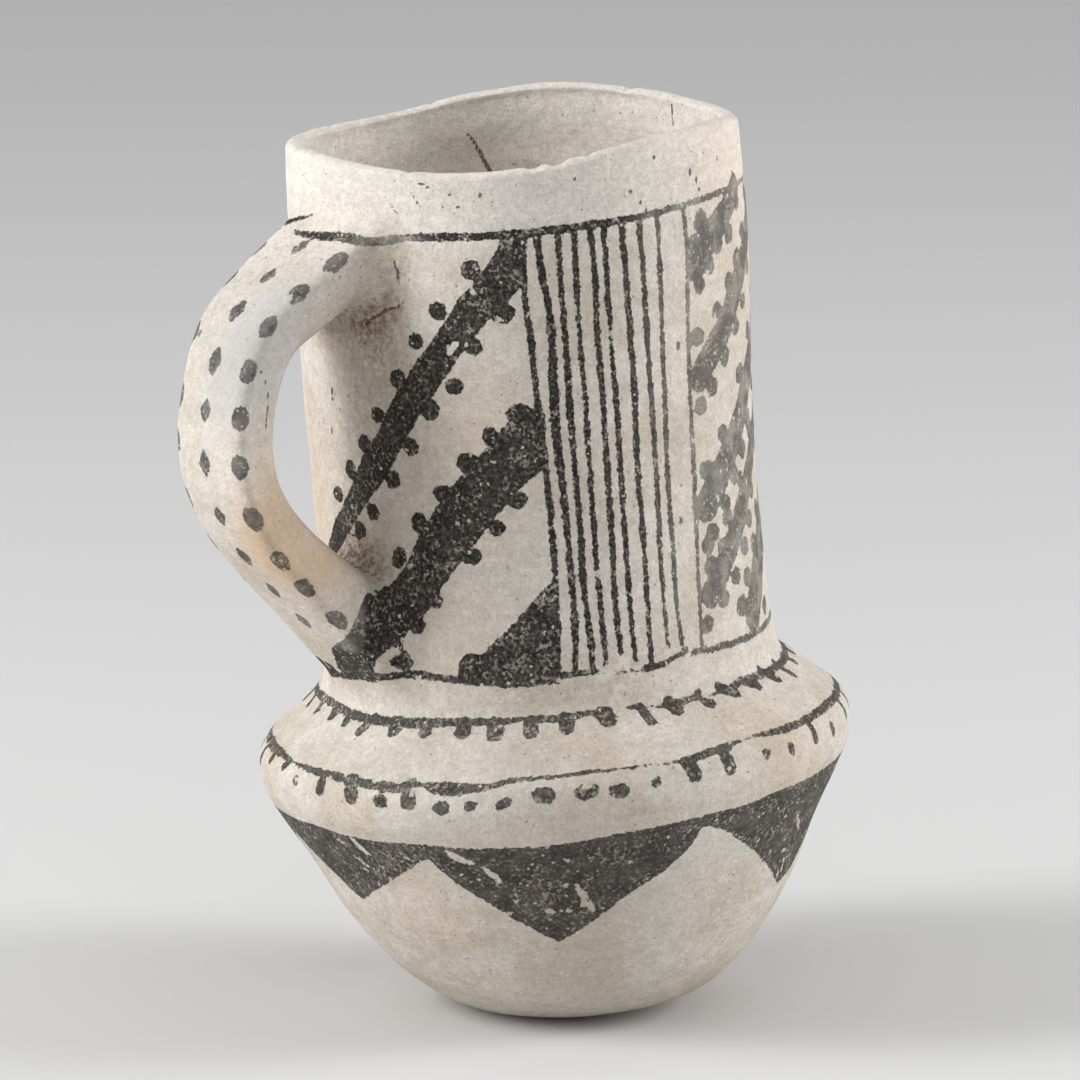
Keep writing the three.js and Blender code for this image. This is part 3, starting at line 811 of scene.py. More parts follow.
# Slanting bands of the side panel: (angle, height, width) along the middle, then the angle and
# height of the dots on the upper and on the lower edge, each row with its radius
SIDE_BANDS = [
    ([(283.2, 152.8, 6), (286, 155.2, 6), (292, 158.5, 6), (300, 162, 5.5), (306, 165, 5)],
     [(283, 156.5), (286, 161)], 2.4,
     [(284, 148.8), (288.5, 152), (293, 155.5), (299.5, 156.5), (306.5, 162)], 2.0),
    ([(283.2, 130.6, 6.5), (286, 133, 6.5), (290, 135.5, 6.5), (296, 139.5, 6.5), (302, 144.5, 6.5),
      (310, 150, 6.5), (318, 156, 6.5), (330, 164.5, 6)],
     [(282.5, 138.5), (291.4, 142.4), (298.5, 147), (304, 151), (310, 155.6), (318, 162)], 1.95,
     [(283, 124.6), (288, 127.7), (294.5, 132.7), (301.4, 137.7), (307.7, 141.6), (315, 147.5),
      (323, 153), (331, 159)], 1.95),
    ([(283, 104.6, 7), (286, 107, 7), (290, 110, 7), (296, 114, 7), (303, 119.5, 7), (310, 126, 7),
      (318, 131.5, 7), (328, 139.5, 7), (340, 148, 7), (353, 158, 7)],
     [(284, 111.6), (292.3, 117.4), (303.6, 127.7), (313, 135), (322, 142), (332, 149), (342, 156)], 2.1,
     [(282, 96.8), (284.5, 99.1), (290.9, 103.8), (296.8, 108.4), (303.2, 112.7), (309.5, 117.7),
      (317, 124), (326, 130), (335, 137.5), (345, 145)], 2.0),
    ([(281.5, 87, 5.7), (285, 89.6, 5.7), (289, 93, 5.7), (295, 97.5, 5.7), (301, 102.5, 5.7),
      (308, 108, 5.7), (316, 114, 6), (328, 122, 6), (341, 131, 6), (354, 140, 6)],
     [(282.3, 92.7), (288.6, 95.2), (291.4, 100.6), (300, 107), (311, 115.5), (321, 122.5),
      (332, 130), (343, 137.5)], 2.0,
     [(279, 81.3), (286.4, 85.2), (292.7, 88.8), (298.6, 93.8), (303.6, 98.4), (308.6, 103.4),
      (319, 111), (329, 118), (340, 125.5)], 1.9),
    ([(301, 80, 8), (307, 87, 8.5), (314, 93.5, 8.5), (320, 98, 8), (332, 106, 7.5), (354, 122, 7.5)],
     [(294.5, 82.4), (299, 87.4), (305.5, 93), (312, 99), (323, 106), (334, 113.5), (346, 121.5)], 2.1,
     [(311, 79.5), (318, 91), (327, 97), (338, 104.5), (349, 112)], 2.0),
]
SIDE_SHAPES = [[(328, 77), (340, 86), (354, 96), (354, 76.5)]]
SIDE_START = 279
# The third panel repeats the side panel 120 degrees on, drawn together to the width left for it
BACK_TURN = 120
BACK_SQUEEZE = 0.76

# Triangles that hang from one belt: (angle, height) along their lower edges
TRIANGLES = [
    [(146, 43.5), (153, 39), (160, 43.5)],
    [(160, 43.5), (165, 39), (169, 36), (173, 32.6), (176.7, 30.9), (182, 33), (189.3, 35.9),
     (197.8, 39.9), (204.8, 43.3)],
    [(204.8, 43.3), (206.5, 40.8), (208.8, 37.6), (212.1, 35), (215.8, 32.2), (219.6, 29.4), (225.6, 25.6),
     (229.8, 23), (236, 25.7), (243.8, 30), (250.9, 34), (256, 36.3), (260, 39.4), (262.6, 42.9),
     (262.4, 44.9)],
    [(262.4, 44.9), (266, 44.1), (269.6, 42.5), (273.1, 40.1), (284.5, 33.2), (292, 28.4), (298, 24.8),
     (304, 26), (312, 31), (320, 36), (328, 41), (331, 43.5)],
    [(331, 43.5), (338, 38), (346, 32), (355, 26), (358, 24.5), (362, 27), (372, 33), (381, 39), (387, 43.5)],
    [(387, 43.5), (394, 38), (403, 31.5), (413, 25.5), (416, 24.5), (420, 27), (430, 33.5), (440, 40),
     (445, 43.5)],
    [(445, 43.5), (452, 38.5), (462, 31), (472, 25), (475, 24), (479, 27), (488, 33), (497, 39), (504, 43.5)],
]
BELT_TOP = [
    (146, 48.5), (164, 48.1), (178, 47.9), (184, 47.1), (193, 46.6), (204, 46.5), (209.5, 46.2),
    (213, 45.7), (229, 45.5), (239, 46), (246, 46.6), (255, 46.9), (265, 47.4), (270, 47.1), (275, 47.4),
    (281, 48.1), (295, 48.1), (306, 48.6), (330, 48.4), (380, 47.9), (430, 47.4), (470, 48), (506, 48.5),
]

# Where paint has flaked or been scratched away: (angle, height, width) lines
WORN_AWAY = [
    [(209.5, 101, 0.25), (213, 99.9, 0.55), (216.2, 99.4, 0.5), (221.2, 97.9, 0.15)],
    [(205.4, 106.2, 0.2), (208.4, 102.6, 0.5)],
    [(175.5, 82.5, 0.2), (172.4, 79.8, 0.6), (171.6, 77.6, 0.5)],
    [(186.9, 46.6, 1.0), (188.4, 44.2, 1.9), (189.6, 42.9, 0.9)], [(182.2, 45.6, 0.8), (183.3, 44.8, 0.6)],
    [(184.5, 41.9, 0.8), (187, 39.9, 0.9)], [(191.6, 37.6, 1.0), (194.2, 35.6, 0.8), (196.6, 34.1, 0.3)],
    [(200.8, 36.6, 0.9), (202.4, 35.7, 0.7)], [(209.6, 44.9, 1.0), (211.8, 43.3, 1.7), (214.4, 42.2, 1.0)],
    [(216.4, 41.3, 0.7), (218.4, 39, 1.3), (219.3, 37.4, 0.9)], [(228.6, 30.6, 1.3), (229.6, 30, 1.0)],
    [(229, 28.4, 0.8), (230, 27.6, 0.7)], [(235.6, 35.8, 0.9), (237.4, 32.9, 1.5), (236.6, 31, 0.9)],
    [(238.2, 31.6, 1.2), (239, 29.8, 0.8)], [(233.2, 30.3, 1.0), (234.3, 29.8, 0.8)],
    [(246.6, 77.2, 0.8), (249.4, 76.6, 2.2), (252, 77, 1.4)],
    [(252.6, 78.6, 1.0), (255.2, 77, 1.6), (257, 76, 1.2)],
    [(264.5, 79, 1.2), (266.6, 78, 1.0)], [(271.8, 77, 1.4), (273, 77.4, 1.2)],
    [(249.6, 69.6, 2.2), (251.8, 67.6, 2.2), (253.2, 66, 1.0)], [(273.4, 68.4, 0.9), (274.6, 67.6, 0.9)],
    [(203.6, 58.6, 0.6), (206, 57.6, 1.2)], [(270.9, 60, 0.8), (271.8, 58.9, 0.9)],
    [(257.4, 68.6, 0.5), (259, 67.8, 0.7)], [(223.4, 133.2, 1.0), (225, 134.6, 1.6), (226.2, 135.6, 0.6)],
    [(214.6, 142.6, 1.5), (216.2, 144, 1.3)], [(221.3, 154.6, 0.8), (222, 153.8, 0.9)],
    [(238.6, 57, 1.1), (240, 57.6, 1.3), (239.6, 58.6, 1.2)], [(243, 57.3, 0.5), (247.8, 57.3, 0.5)],
    [(289, 66.8, 0.4), (291.4, 65.8, 0.35)], [(280, 66.9, 0.4), (283, 65.9, 0.35)],
    [(294.6, 40, 0.5), (297.8, 37.6, 1.0), (300, 35.8, 0.5)], [(296.6, 30.4, 0.9), (297.6, 27.8, 0.7)],
]


def hanging(low, high, count, shape, hand):
    """Dabs at even steps round the hidden side, each a little different."""
    for angle in np.linspace(low, high, count):
        width, end, slide = shape
        moved, widened = angle + hand.uniform(-0.8, 0.8), width * hand.uniform(0.8, 1.2)
        yield moved, widened, end + hand.uniform(-0.4, 0.4), slide


def paint_wall(canvas):
    hand = np.random.default_rng(5)

    def slanting(bands, shapes, move):
        for points, upper, upper_size, lower, lower_size in bands:
            canvas.line(smooth(move(points)))
            for dots, size in ((upper, upper_size), (lower, lower_size)):
                for angle, height in move(dots):
                    wide, tall = size * hand.uniform(0.88, 1.1, 2)
                    canvas.dot(angle, height, wide, tall, hand.uniform(-40, 40))
        for shape in shapes:
            canvas.area(move(shape))

    for line in (UPPER_LINE, LOWER_LINE, NECK_BASE_LINE, RIDGE_LINE):
        canvas.ring(line)
    for dabs, start, hidden in HANGING_DABS:
        for angle, width, end, slide in [*dabs, *hanging(*hidden, hand)]:
            upper = (angle - slide / 2, start, width * 0.85)
            canvas.line([upper, (angle + slide / 2, end + width / 2, width)])
    canvas.line(STRAY_MARK)
    for angle, height, across, along in RIDGE_DOTS:
        canvas.dot(angle, height, across, along, hand.uniform(-25, 25))
    for turn in STRIPE_TURNS:
        for points in STRIPES:
            canvas.stripe(turned_on(points, turn))
    for upper, lower, dots in FRONT_BANDS:
        canvas.area(smooth(upper, 3) + smooth(lower, 3)[::-1])
        for angle, height, across, along in dots:
            canvas.dot(angle, height, across, along, hand.uniform(-35, 35))
    for shape in FRONT_SHAPES:
        canvas.area(shape)
    slanting(SIDE_BANDS, SIDE_SHAPES, lambda points: points)
    slanting(SIDE_BANDS, SIDE_SHAPES, lambda points: turned_on(points, BACK_TURN, BACK_SQUEEZE, SIDE_START))
    for triangle in TRIANGLES:
        low, high = triangle[0][0], triangle[-1][0]
        heights = np.interp([low, high], *zip(*BELT_TOP))
        top = [(angle, height) for angle, height in BELT_TOP if low < angle < high]
        canvas.area([*triangle, (high, heights[1]), *reversed(top), (low, heights[0])])
    for scratch in WORN_AWAY:
        canvas.line(scratch, erase=True)


# Dots along the strap, in rows by their turn round it: shares of its length
STRAP_DOTS = {
    -141: [0.14, 0.22, 0.285, 0.35, 0.42, 0.49, 0.57, 0.65, 0.715, 0.8],
    -90: [0.135, 0.205, 0.275, 0.345, 0.415, 0.49, 0.57, 0.645, 0.725, 0.805],
    -38: [0.15, 0.22, 0.31, 0.4, 0.465, 0.55, 0.63, 0.705, 0.79],
}
STRAP_DOT_LENGTH = 2.7
STRAP_DOT_WIDTH = 2.0
STRAP_CRACK_HALF_WIDTH = 0.3

# Worn spots in those dots: share of the strap's length, turn round it and radius
WORN_DOTS = [(0.236, -128, 1.2)]


def paint_strap(points):
    """Distance from each point to the edge of the nearest dot on the strap."""
    hand = np.random.default_rng(8)
    edge = np.full(points.shape[:-1], PAINT_REACH)
    for turn, shares in STRAP_DOTS.items():
        for share in shares:
            sway = 4 * abs(math.cos(math.radians(turn)))
            turned = math.radians(turn + hand.uniform(-sway, sway))
            centre = strap_point(np.float64(share), np.float64(turned))
            ahead = strap_point(np.float64(share + 0.01), np.float64(turned)) - centre
            ahead /= np.linalg.norm(ahead)
            long = STRAP_DOT_LENGTH * hand.uniform(0.85, 1.1)
            wide = STRAP_DOT_WIDTH * hand.uniform(0.85, 1.1)
            offset = points - centre
            along = offset @ ahead
            across = np.sqrt(np.maximum((offset ** 2).sum(-1) - along ** 2, 0))
            edge = np.minimum(edge, (np.hypot(along / long, across / wide) - 1) * wide)
    for share, turn, radius in WORN_DOTS:
        gap = np.linalg.norm(points - strap_place(share, turn), axis=-1) - radius
        edge = np.maximum(edge, -gap)
    return edge


def wall_place(angle, height):
    """Upright point on the outer face of the wall."""
    radius, level = wall_point(np.array([wall_distance(angle, height)]), np.zeros(1))[0][0]
    turn = math.radians(angle)
    return np.array([radius * math.cos(turn), radius * math.sin(turn), level])


def strap_place(share, turn):
    return strap_point(np.float64(share), np.float64(math.radians(turn)))


def blotches(points, spots):
    """Sum of soft round stains: (place, reach in millimetres, strength)."""
    total = np.zeros(points.shape[:-1])
    for place, reach, strength in spots:
        total += strength * np.exp(-((points - place) ** 2).sum(-1) / reach ** 2)
    return total


# Where dirt has lodged, with painted shade darkening the crotches round the strap's joints and its inner
# side, and where the slip is stained, greyed or flaked to white
SOILED_AND_PAINTED_SHADE = [
    (wall_place(190, 148), 6, 0.8), (wall_place(198, 152), 5, 0.5), (wall_place(184, 93), 6, 0.6),
    (wall_place(176, 92), 6, 0.6), (wall_place(172, 148), 6, 0.6), (wall_place(180, 120), 22, 0.2),
    (wall_place(196, 128), 14, 0.22), (wall_place(203, 161), 4, 0.5), (wall_place(196, 140), 8, 0.35),
    (wall_place(183, 96), 7, 0.8), (wall_place(177, 98), 6, 0.7), (wall_place(212, 100), 16, 0.12),
    (wall_place(230, 64), 20, 0.12),
    (wall_place(210, 70), 14, 0.14), (wall_place(250, 172), 14, 0.1), (wall_place(284, 168), 12, 0.2),
    (strap_place(0.16, 90), 5, 0.5), (strap_place(0.83, 90), 6, 0.5), (strap_place(0.6, 150), 8, 0.25),
    (strap_place(0.28, -20), 6, 0.25), (strap_place(0.2, -60), 6, 0.15),
]
STAINED = [
    (strap_place(0.6, -170), 8, 0.9), (strap_place(0.66, -120), 9, 0.75), (strap_place(0.72, 170), 7, 0.6),
    (strap_place(0.52, 160), 7, 0.5), (wall_place(300, 172), 14, 0.35),
    (wall_place(222, 128), 9, 0.35), (wall_place(210, 86), 8, 0.3), (wall_place(236, 40), 16, 0.2),
    (wall_place(200, 36), 12, 0.25), (wall_place(285, 60), 12, 0.3), (wall_place(150, 110), 16, 0.3),
    (wall_place(60, 120), 24, 0.35), (wall_place(10, 60), 20, 0.3), (wall_place(100, 70), 18, 0.3),
    (wall_place(330, 150), 16, 0.25),
]
GREYED = [
    (strap_place(0.3, -110), 10, 0.9), (strap_place(0.38, -100), 9, 0.7), (strap_place(0.22, -130), 7, 0.4),
    (wall_place(225, 62), 9, 0.3), (wall_place(205, 50), 10, 0.25), (wall_place(246, 30), 18, 0.3),
    (wall_place(80, 100), 20, 0.3), (wall_place(20, 30), 22, 0.3),
]

WHITENED = [
    (wall_place(251, 70), 3.5, 0.55), (wall_place(248, 75.5), 3, 0.5), (wall_place(253.5, 77.5), 3.5, 0.5),
    (wall_place(257, 73.5), 3, 0.4), (wall_place(206, 60), 7, 0.28),
    (wall_place(224, 62), 8, 0.25), (wall_place(262, 62), 8, 0.22), (wall_place(212, 72.5), 6, 0.25),
    (wall_place(204, 28), 8, 0.25), (wall_place(212, 18), 9, 0.28), (wall_place(250, 22), 8, 0.2),
    (wall_place(235, 56), 6, 0.2), (wall_place(60, 50), 16, 0.25),
    (wall_place(120, 62), 14, 0.25), (wall_place(10, 66), 12, 0.25), (wall_place(340, 58), 10, 0.25),
]

# Where the paint is most worn
WORN = [
    (wall_place(228, 158), 8, 0.35), (wall_place(229, 124), 7, 0.5), (wall_place(206, 99), 9, 0.3),
    (wall_place(228, 82), 12, 0.5), (wall_place(232, 92), 7, 0.3), (wall_place(192, 40), 9, 0.4),
    (wall_place(232, 32), 9, 0.3), (wall_place(268, 60), 10, 0.4), (wall_place(226, 60), 12, 0.35),
    (wall_place(202, 59), 9, 0.35), (wall_place(288, 40), 12, 0.3), (wall_place(203, 165), 4, 0.6),
    (wall_place(60, 60), 24, 0.35), (wall_place(100, 130), 22, 0.35), (wall_place(20, 40), 20, 0.3),
]

# Hairline cracks and scratches outside and inside the wall: (angle, height, width) lines
OUTER_CRACKS = [
    [(209, 176, 0.2), (210.8, 175.6, 0.4), (212.9, 174.6, 0.2)],
    [(198.8, 173.8, 0.2), (201, 171.6, 0.35), (203, 169.9, 0.2)],
    [(206.9, 174.3, 0.2), (208.6, 172.2, 0.4), (210.5, 170.5, 0.2)],
    [(201.2, 161.4, 0.3), (202, 159, 0.5), (202.3, 156.1, 0.3)],
    [(203, 152.6, 0.2), (201.2, 151.5, 0.4), (197.9, 151, 0.55), (194, 149.4, 0.5), (190.1, 147.5, 0.4)],
    [(95, 176, 0.2), (97, 170, 0.45), (96, 163, 0.2)],
    [(330, 60, 0.1), (338, 56, 0.3), (342, 51, 0.1)],
]
INNER_CRACKS = [
    [(66.2, 171, 0.5), (64.5, 169, 0.65), (62.7, 166.4, 0.75), (60.4, 162.3, 0.9), (57, 154, 0.9)],
    [(3, 175.8, 0.6), (2.6, 171, 0.6)],
]
# Pits left in the clay by burnt-out straw: angle, height, half width and half height
PITS = [
    (283.5, 171.3, 0.4, 0.7), (285.8, 169.4, 0.3, 0.6), (286.6, 167.3, 0.4, 0.4), (263.6, 170.3, 0.35, 0.6),
    (266.1, 167.8, 0.35, 0.45), (271.6, 175.9, 0.4, 0.4), (267.6, 165.8, 0.35, 0.7), (217.3, 173.7, 0.3, 0.4),
    (219.3, 171.1, 0.35, 0.35), (215.5, 171.4, 0.3, 0.3), (225.1, 173.2, 0.4, 0.4),
    (248.8, 174.4, 0.35, 0.35),
    (174, 133, 0.45, 0.8), (173.7, 131.3, 0.4, 0.5), (172.1, 124.7, 0.3, 0.7), (171.4, 122, 0.25, 0.5),
    (296, 172, 0.3, 0.5), (305, 168, 0.35, 0.4), (30, 170, 0.4, 0.6), (120, 150, 0.4, 0.5),
    (340, 120, 0.35, 0.6),
]
STRAP_CRACK = [
    strap_place(0.345, -176), strap_place(0.365, 179), strap_place(0.385, 175), strap_place(0.41, 173),
    strap_place(0.44, 171),
]


def cracked(points, inside):
    """Distance to the edge of the nearest crack or pit in the wall."""
    outer, inner = Canvas(points), Canvas(points)
    for crack in OUTER_CRACKS:
        outer.line(crack)
    for pit in PITS:
        outer.dot(*pit)
    for crack in INNER_CRACKS:
        inner.line(crack)
    return np.where(inside, inner.edge.reshape(outer.shape), outer.edge.reshape(outer.shape))


def strap_cracked(points):
    """Distance to the edge of the crack along the strap."""
    nearest = np.full(points.shape[:-1], PAINT_REACH)
    for start, end in zip(STRAP_CRACK, STRAP_CRACK[1:]):
        run = end - start
        way = np.clip(((points - start) @ run) / (run @ run), 0, 1)
        gap = np.linalg.norm(points - start - way[..., None] * run, axis=-1) - STRAP_CRACK_HALF_WIDTH
        nearest = np.minimum(nearest, gap)
    return nearest


def paint_fade(angle, height):
    """How thin and grey the paint is, from 0 to 1."""
    turn = angle % 360
    side = smoothstep(turn, 256, 284) * smoothstep(turn, 362, 340) + 0.55 * smoothstep(turn, 150, 120)
    neck = smoothstep(height, 70, 80)
    line = np.exp(-((turn - 200) / 7) ** 2 - ((height - 165) / 4) ** 2)
    return np.clip(0.66 * side * neck + 0.15 * (1 - neck) + 0.7 * line, 0, 1)


# By height: how much of the clay's own colour shows through the slip, and how worn the paint is
THIN_SLIP = [(0, 0.85), (6, 0.6), (14, 0.45), (48, 0.45), (60, 0.4), (74, 0.36), (158, 0.32), (168, 0.05)]
PAINT_WEAR = [(48, 0.3), (52, 0.5), (70, 0.5), (74, 0.35), (100, 0.25), (166, 0.3)]
STRAP_FADE = 0.42
STRAP_WEAR = 0.45


def surface_values(points, inside=False, strap_reach=None):
    """Everything that the clay's finish depends on, for upright points of one piece."""
    height = points[..., 2]
    canvas = Canvas(points)
    paint_wall(canvas)
    paint = canvas.edge.reshape(height.shape)
    fade = paint_fade(canvas.angle.reshape(height.shape), height)
    wear = np.interp(height, *zip(*PAINT_WEAR))
    crack = cracked(points, inside)
    if strap_reach is not None:
        reach = np.where(height > STRAP_MIDDLE, UPPER_JOINT_REACH, LOWER_JOINT_REACH)
        past_joint = np.maximum(strap_reach - reach, 0)
        paint = np.minimum(np.minimum(paint + past_joint, PAINT_REACH), paint_strap(points))
        crack = np.minimum(np.minimum(crack + past_joint, PAINT_REACH), strap_cracked(points))
        fade = lerp(fade, STRAP_FADE, np.clip(past_joint, 0, 1))
        wear = lerp(wear, STRAP_WEAR, np.clip(past_joint, 0, 1))
    return {
        "paint": np.where(inside, PAINT_REACH, paint),
        "fade": fade,
        "wear": np.clip(wear + blotches(points, WORN), 0, 1),
        "bare": np.where(inside, smoothstep(height, 172, 120), np.interp(height, *zip(*THIN_SLIP))),
        # Outside: dirt, and painted shade in the handle's crotches; inside: darker towards the bottom
        "soil_and_painted_shade": np.where(inside, smoothstep(height, 40, 5) * 0.5, np.clip(blotches(points, SOILED_AND_PAINTED_SHADE), 0, 1)),
        "stain": np.clip(blotches(points, STAINED), 0, 1),
        "grey": np.clip(blotches(points, GREYED), 0, 1),
        "white": np.clip(blotches(points, WHITENED), 0, 1),
        "crack": crack,
    }


wall_values = surface_values(upright, row_inside[:, None])


def finish_piece(name, bm, place, values, normals, stands_for, material):
    """Moves each corner of a mesh to its place, and keeps the values that its finish needs."""
    mesh = bpy.data.meshes.new(name)
    row_layer, column_layer = bm.verts.layers.int["row"], bm.verts.layers.int["column"]
    rows = np.array([vert[row_layer] for vert in bm.verts])
    columns = np.array([vert[column_layer] for vert in bm.verts])
    bm.verts.layers.int.remove(bm.verts.layers.int["row"])
    bm.verts.layers.int.remove(bm.verts.layers.int["column"])
    bm.to_mesh(mesh)
    bm.free()
    mesh.vertices.foreach_set("co", (place[rows, columns] * MM).astype(np.float32).ravel())
    for label, value in values.items():
        layer = mesh.attributes.new(label, "FLOAT", "POINT")
        layer.data.foreach_set("value", value[rows, columns].astype(np.float32))
    mesh.shade_smooth()
    if normals is not None:
        mesh.normals_split_custom_set_from_vertices(normals[rows, columns].astype(np.float32))
    mesh.materials.append(material)
    piece = bpy.data.objects.new(name, mesh)
    bpy.context.scene.collection.objects.link(piece)
    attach(piece, "root")
    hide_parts(stands_for)
    return piece


def coil_rows(index):
    """Rows of one coil's section, once round it."""
    outside = list(range(outer_marks[index], outer_marks[index + 1] + 1))
    last = len(section) - 1
    inside = list(range(last - inner_marks[index + 1], last - inner_marks[index] + 1))
    if index == len(coil_names) - 1:
        outside += list(range(len(outer_rows), first_inner))
    return outside + inside


def make_coil(name, index, material):
    """One flattened coil: its section spun round the upright axis, then cut finer round the wall."""
    rows = coil_rows(index)
    is_disc = index == 0
    bm = bmesh.new()
    row_layer = bm.verts.layers.int.new("row")
    verts = [bm.verts.new((section[row, 0], 0, section[row, 1])) for row in rows]
    for vert, row in zip(verts, rows):
        vert[row_layer] = row
    edges = [bm.edges.new(pair) for pair in zip(verts, verts[1:])]
    if not is_disc:
        edges.append(bm.edges.new((verts[-1], verts[0])))
    bmesh.ops.spin(
        bm, geom=verts + edges, axis=(0, 0, 1), cent=(0, 0, 0), dvec=(0, 0, 0),
        angle=2 * math.pi, steps=SPIN_STEPS, use_merge=True, use_duplicate=False)
    if is_disc:
        bmesh.ops.remove_doubles(bm, verts=bm.verts, dist=1e-4)
    rings = [edge for edge in bm.edges if edge.verts[0][row_layer] == edge.verts[1][row_layer]]
    bmesh.ops.subdivide_edges(bm, edges=rings, cuts=COLUMNS // SPIN_STEPS - 1, use_grid_fill=True)
    bmesh.ops.recalc_face_normals(bm, faces=bm.faces)
    column_layer = bm.verts.layers.int.new("column")
    row_layer = bm.verts.layers.int["row"]
    for vert in bm.verts:
        turn = math.atan2(vert.co.y, vert.co.x) / (2 * math.pi)
        vert[column_layer] = round(turn * COLUMNS) % COLUMNS
    return finish_piece(
        f"{name}_clay", bm, wall_points, wall_values, wall_normals, name, material)


def make_rolled(name, grid, close_rows, stands_for, material):
    """A sheet of clay rolled round, with its corners laid on a grid of upright points."""
    rows, columns = grid.shape[:2]
    row_steps = rows if close_rows else rows - 1
    bm = bmesh.new()
    bmesh.ops.create_grid(bm, x_segments=columns, y_segments=row_steps, size=1)
    row_layer = bm.verts.layers.int.new("row")
    column_layer = bm.verts.layers.int.new("column")
    for vert in bm.verts:
        row = round((vert.co.y + 1) / 2 * row_steps) % rows
        column = round((vert.co.x + 1) / 2 * columns) % columns
        vert[row_layer], vert[column_layer] = row, column
        vert.co = grid[row, column]
    bmesh.ops.remove_doubles(bm, verts=bm.verts, dist=1e-5)
    open_edges = [edge for edge in bm.edges if edge.is_boundary]
    if open_edges:
        bmesh.ops.holes_fill(bm, edges=open_edges, sides=0)
    bmesh.ops.recalc_face_normals(bm, faces=bm.faces)
    settled = settle(grid)
    normals = grid_normals(settled)
    outwards = settled - settled.mean(axis=1, keepdims=True)
    if (normals * outwards).sum() < 0:
        normals = -normals
    gap = np.abs(wall_gap(grid))
    normals = blended_normals(grid, normals, gap)
    values = surface_values(grid, strap_reach=gap)
    return finish_piece(name, bm, settled, values, normals, stands_for, material)


# Materials
def colour(red, green, blue):
    """A colour written as sRGB values from 0 to 255, made linear."""
    shares = [value / 255 for value in (red, green, blue)]
    linear = [share / 12.92 if share <= 0.04045 else ((share + 0.055) / 1.055) ** 2.4 for share in shares]
    return (*linear, 1.0)


def place(tree, kind, inputs=None, **settings):
    """Adds a node, sets it up, and links or sets its inputs."""
    node = tree.nodes.new(kind)
    for name, value in settings.items():
        setattr(node, name, value)
    for key, value in (inputs or {}).items():
        if isinstance(value, bpy.types.NodeSocket):
            tree.links.new(value, node.inputs[key])
        else:
            node.inputs[key].default_value = value
    return node


def noise(tree, vector, size, detail=2.0, roughness=0.5):
    """Noise from 0 to 1 whose main lumps are about the given size in millimetres."""
    node = place(tree, "ShaderNodeTexNoise", {
        "Vector": vector, "Scale": 1000 / size, "Detail": detail, "Roughness": roughness})
    return node.outputs["Fac"]


def fit(tree, value, low, high, to_low=0.0, to_high=1.0):
    node = place(tree, "ShaderNodeMapRange", {
        "Value": value, "From Min": low, "From Max": high, "To Min": to_low, "To Max": to_high},
        interpolation_type="SMOOTHSTEP")
    return node.outputs["Result"]


def maths(tree, operation, first, second):
    return place(tree, "ShaderNodeMath", {0: first, 1: second}, operation=operation).outputs[0]


def mixed(tree, factor, first, second, blend="MIX"):
    node = place(tree, "ShaderNodeMix", {0: factor, 6: first, 7: second}, data_type="RGBA", blend_type=blend)
    return node.outputs[2]


def bent(tree, vector, size, reach):
    """Coordinates pushed about by up to a reach in millimetres, so that what is drawn on them is ragged."""
    push = place(tree, "ShaderNodeTexNoise", {"Vector": vector, "Scale": 1000 / size, "Detail": 2.0})
    scale = (reach * MM,) * 3
    return place(tree, "ShaderNodeVectorMath", {0: push.outputs["Color"], 1: scale, 2: vector},
                 operation="MULTIPLY_ADD").outputs["Vector"]


def spots(tree, vector, size, share, radius):
    """Round spots of many sizes: one in some cells of the given size, as a mask."""
    cells = place(tree, "ShaderNodeTexVoronoi", {"Vector": vector, "Scale": 1000 / size, "Randomness": 1.0})
    chance = place(tree, "ShaderNodeSeparateColor", {0: cells.outputs["Color"]}).outputs[0]
    reach = place(tree, "ShaderNodeMapRange", {
        "Value": chance, "From Min": maths(tree, "SUBTRACT", 1.0, share), "From Max": 1.0,
        "To Min": -0.05, "To Max": radius / size}).outputs["Result"]
    return fit(tree, maths(tree, "SUBTRACT", reach, cells.outputs["Distance"]), 0.0, 0.06)


def shaded(tree, tone, value, low, high):
    """A colour made darker or lighter by a noise."""
    shade = fit(tree, value, 0.37, 0.63, low, high)
    grey = place(tree, "ShaderNodeCombineXYZ", {0: shade, 1: shade, 2: shade}).outputs[0]
    return mixed(tree, 1.0, tone, grey, "MULTIPLY")


def new_group(name, inputs, outputs):
    group = bpy.data.node_groups.new(name, "ShaderNodeTree")
    for label, kind, value in inputs:
        group.interface.new_socket(label, in_out="INPUT", socket_type=kind).default_value = value
    for label, kind in outputs:
        group.interface.new_socket(label, in_out="OUTPUT", socket_type=kind)
    return group, group.nodes.new("NodeGroupInput").outputs, group.nodes.new("NodeGroupOutput")


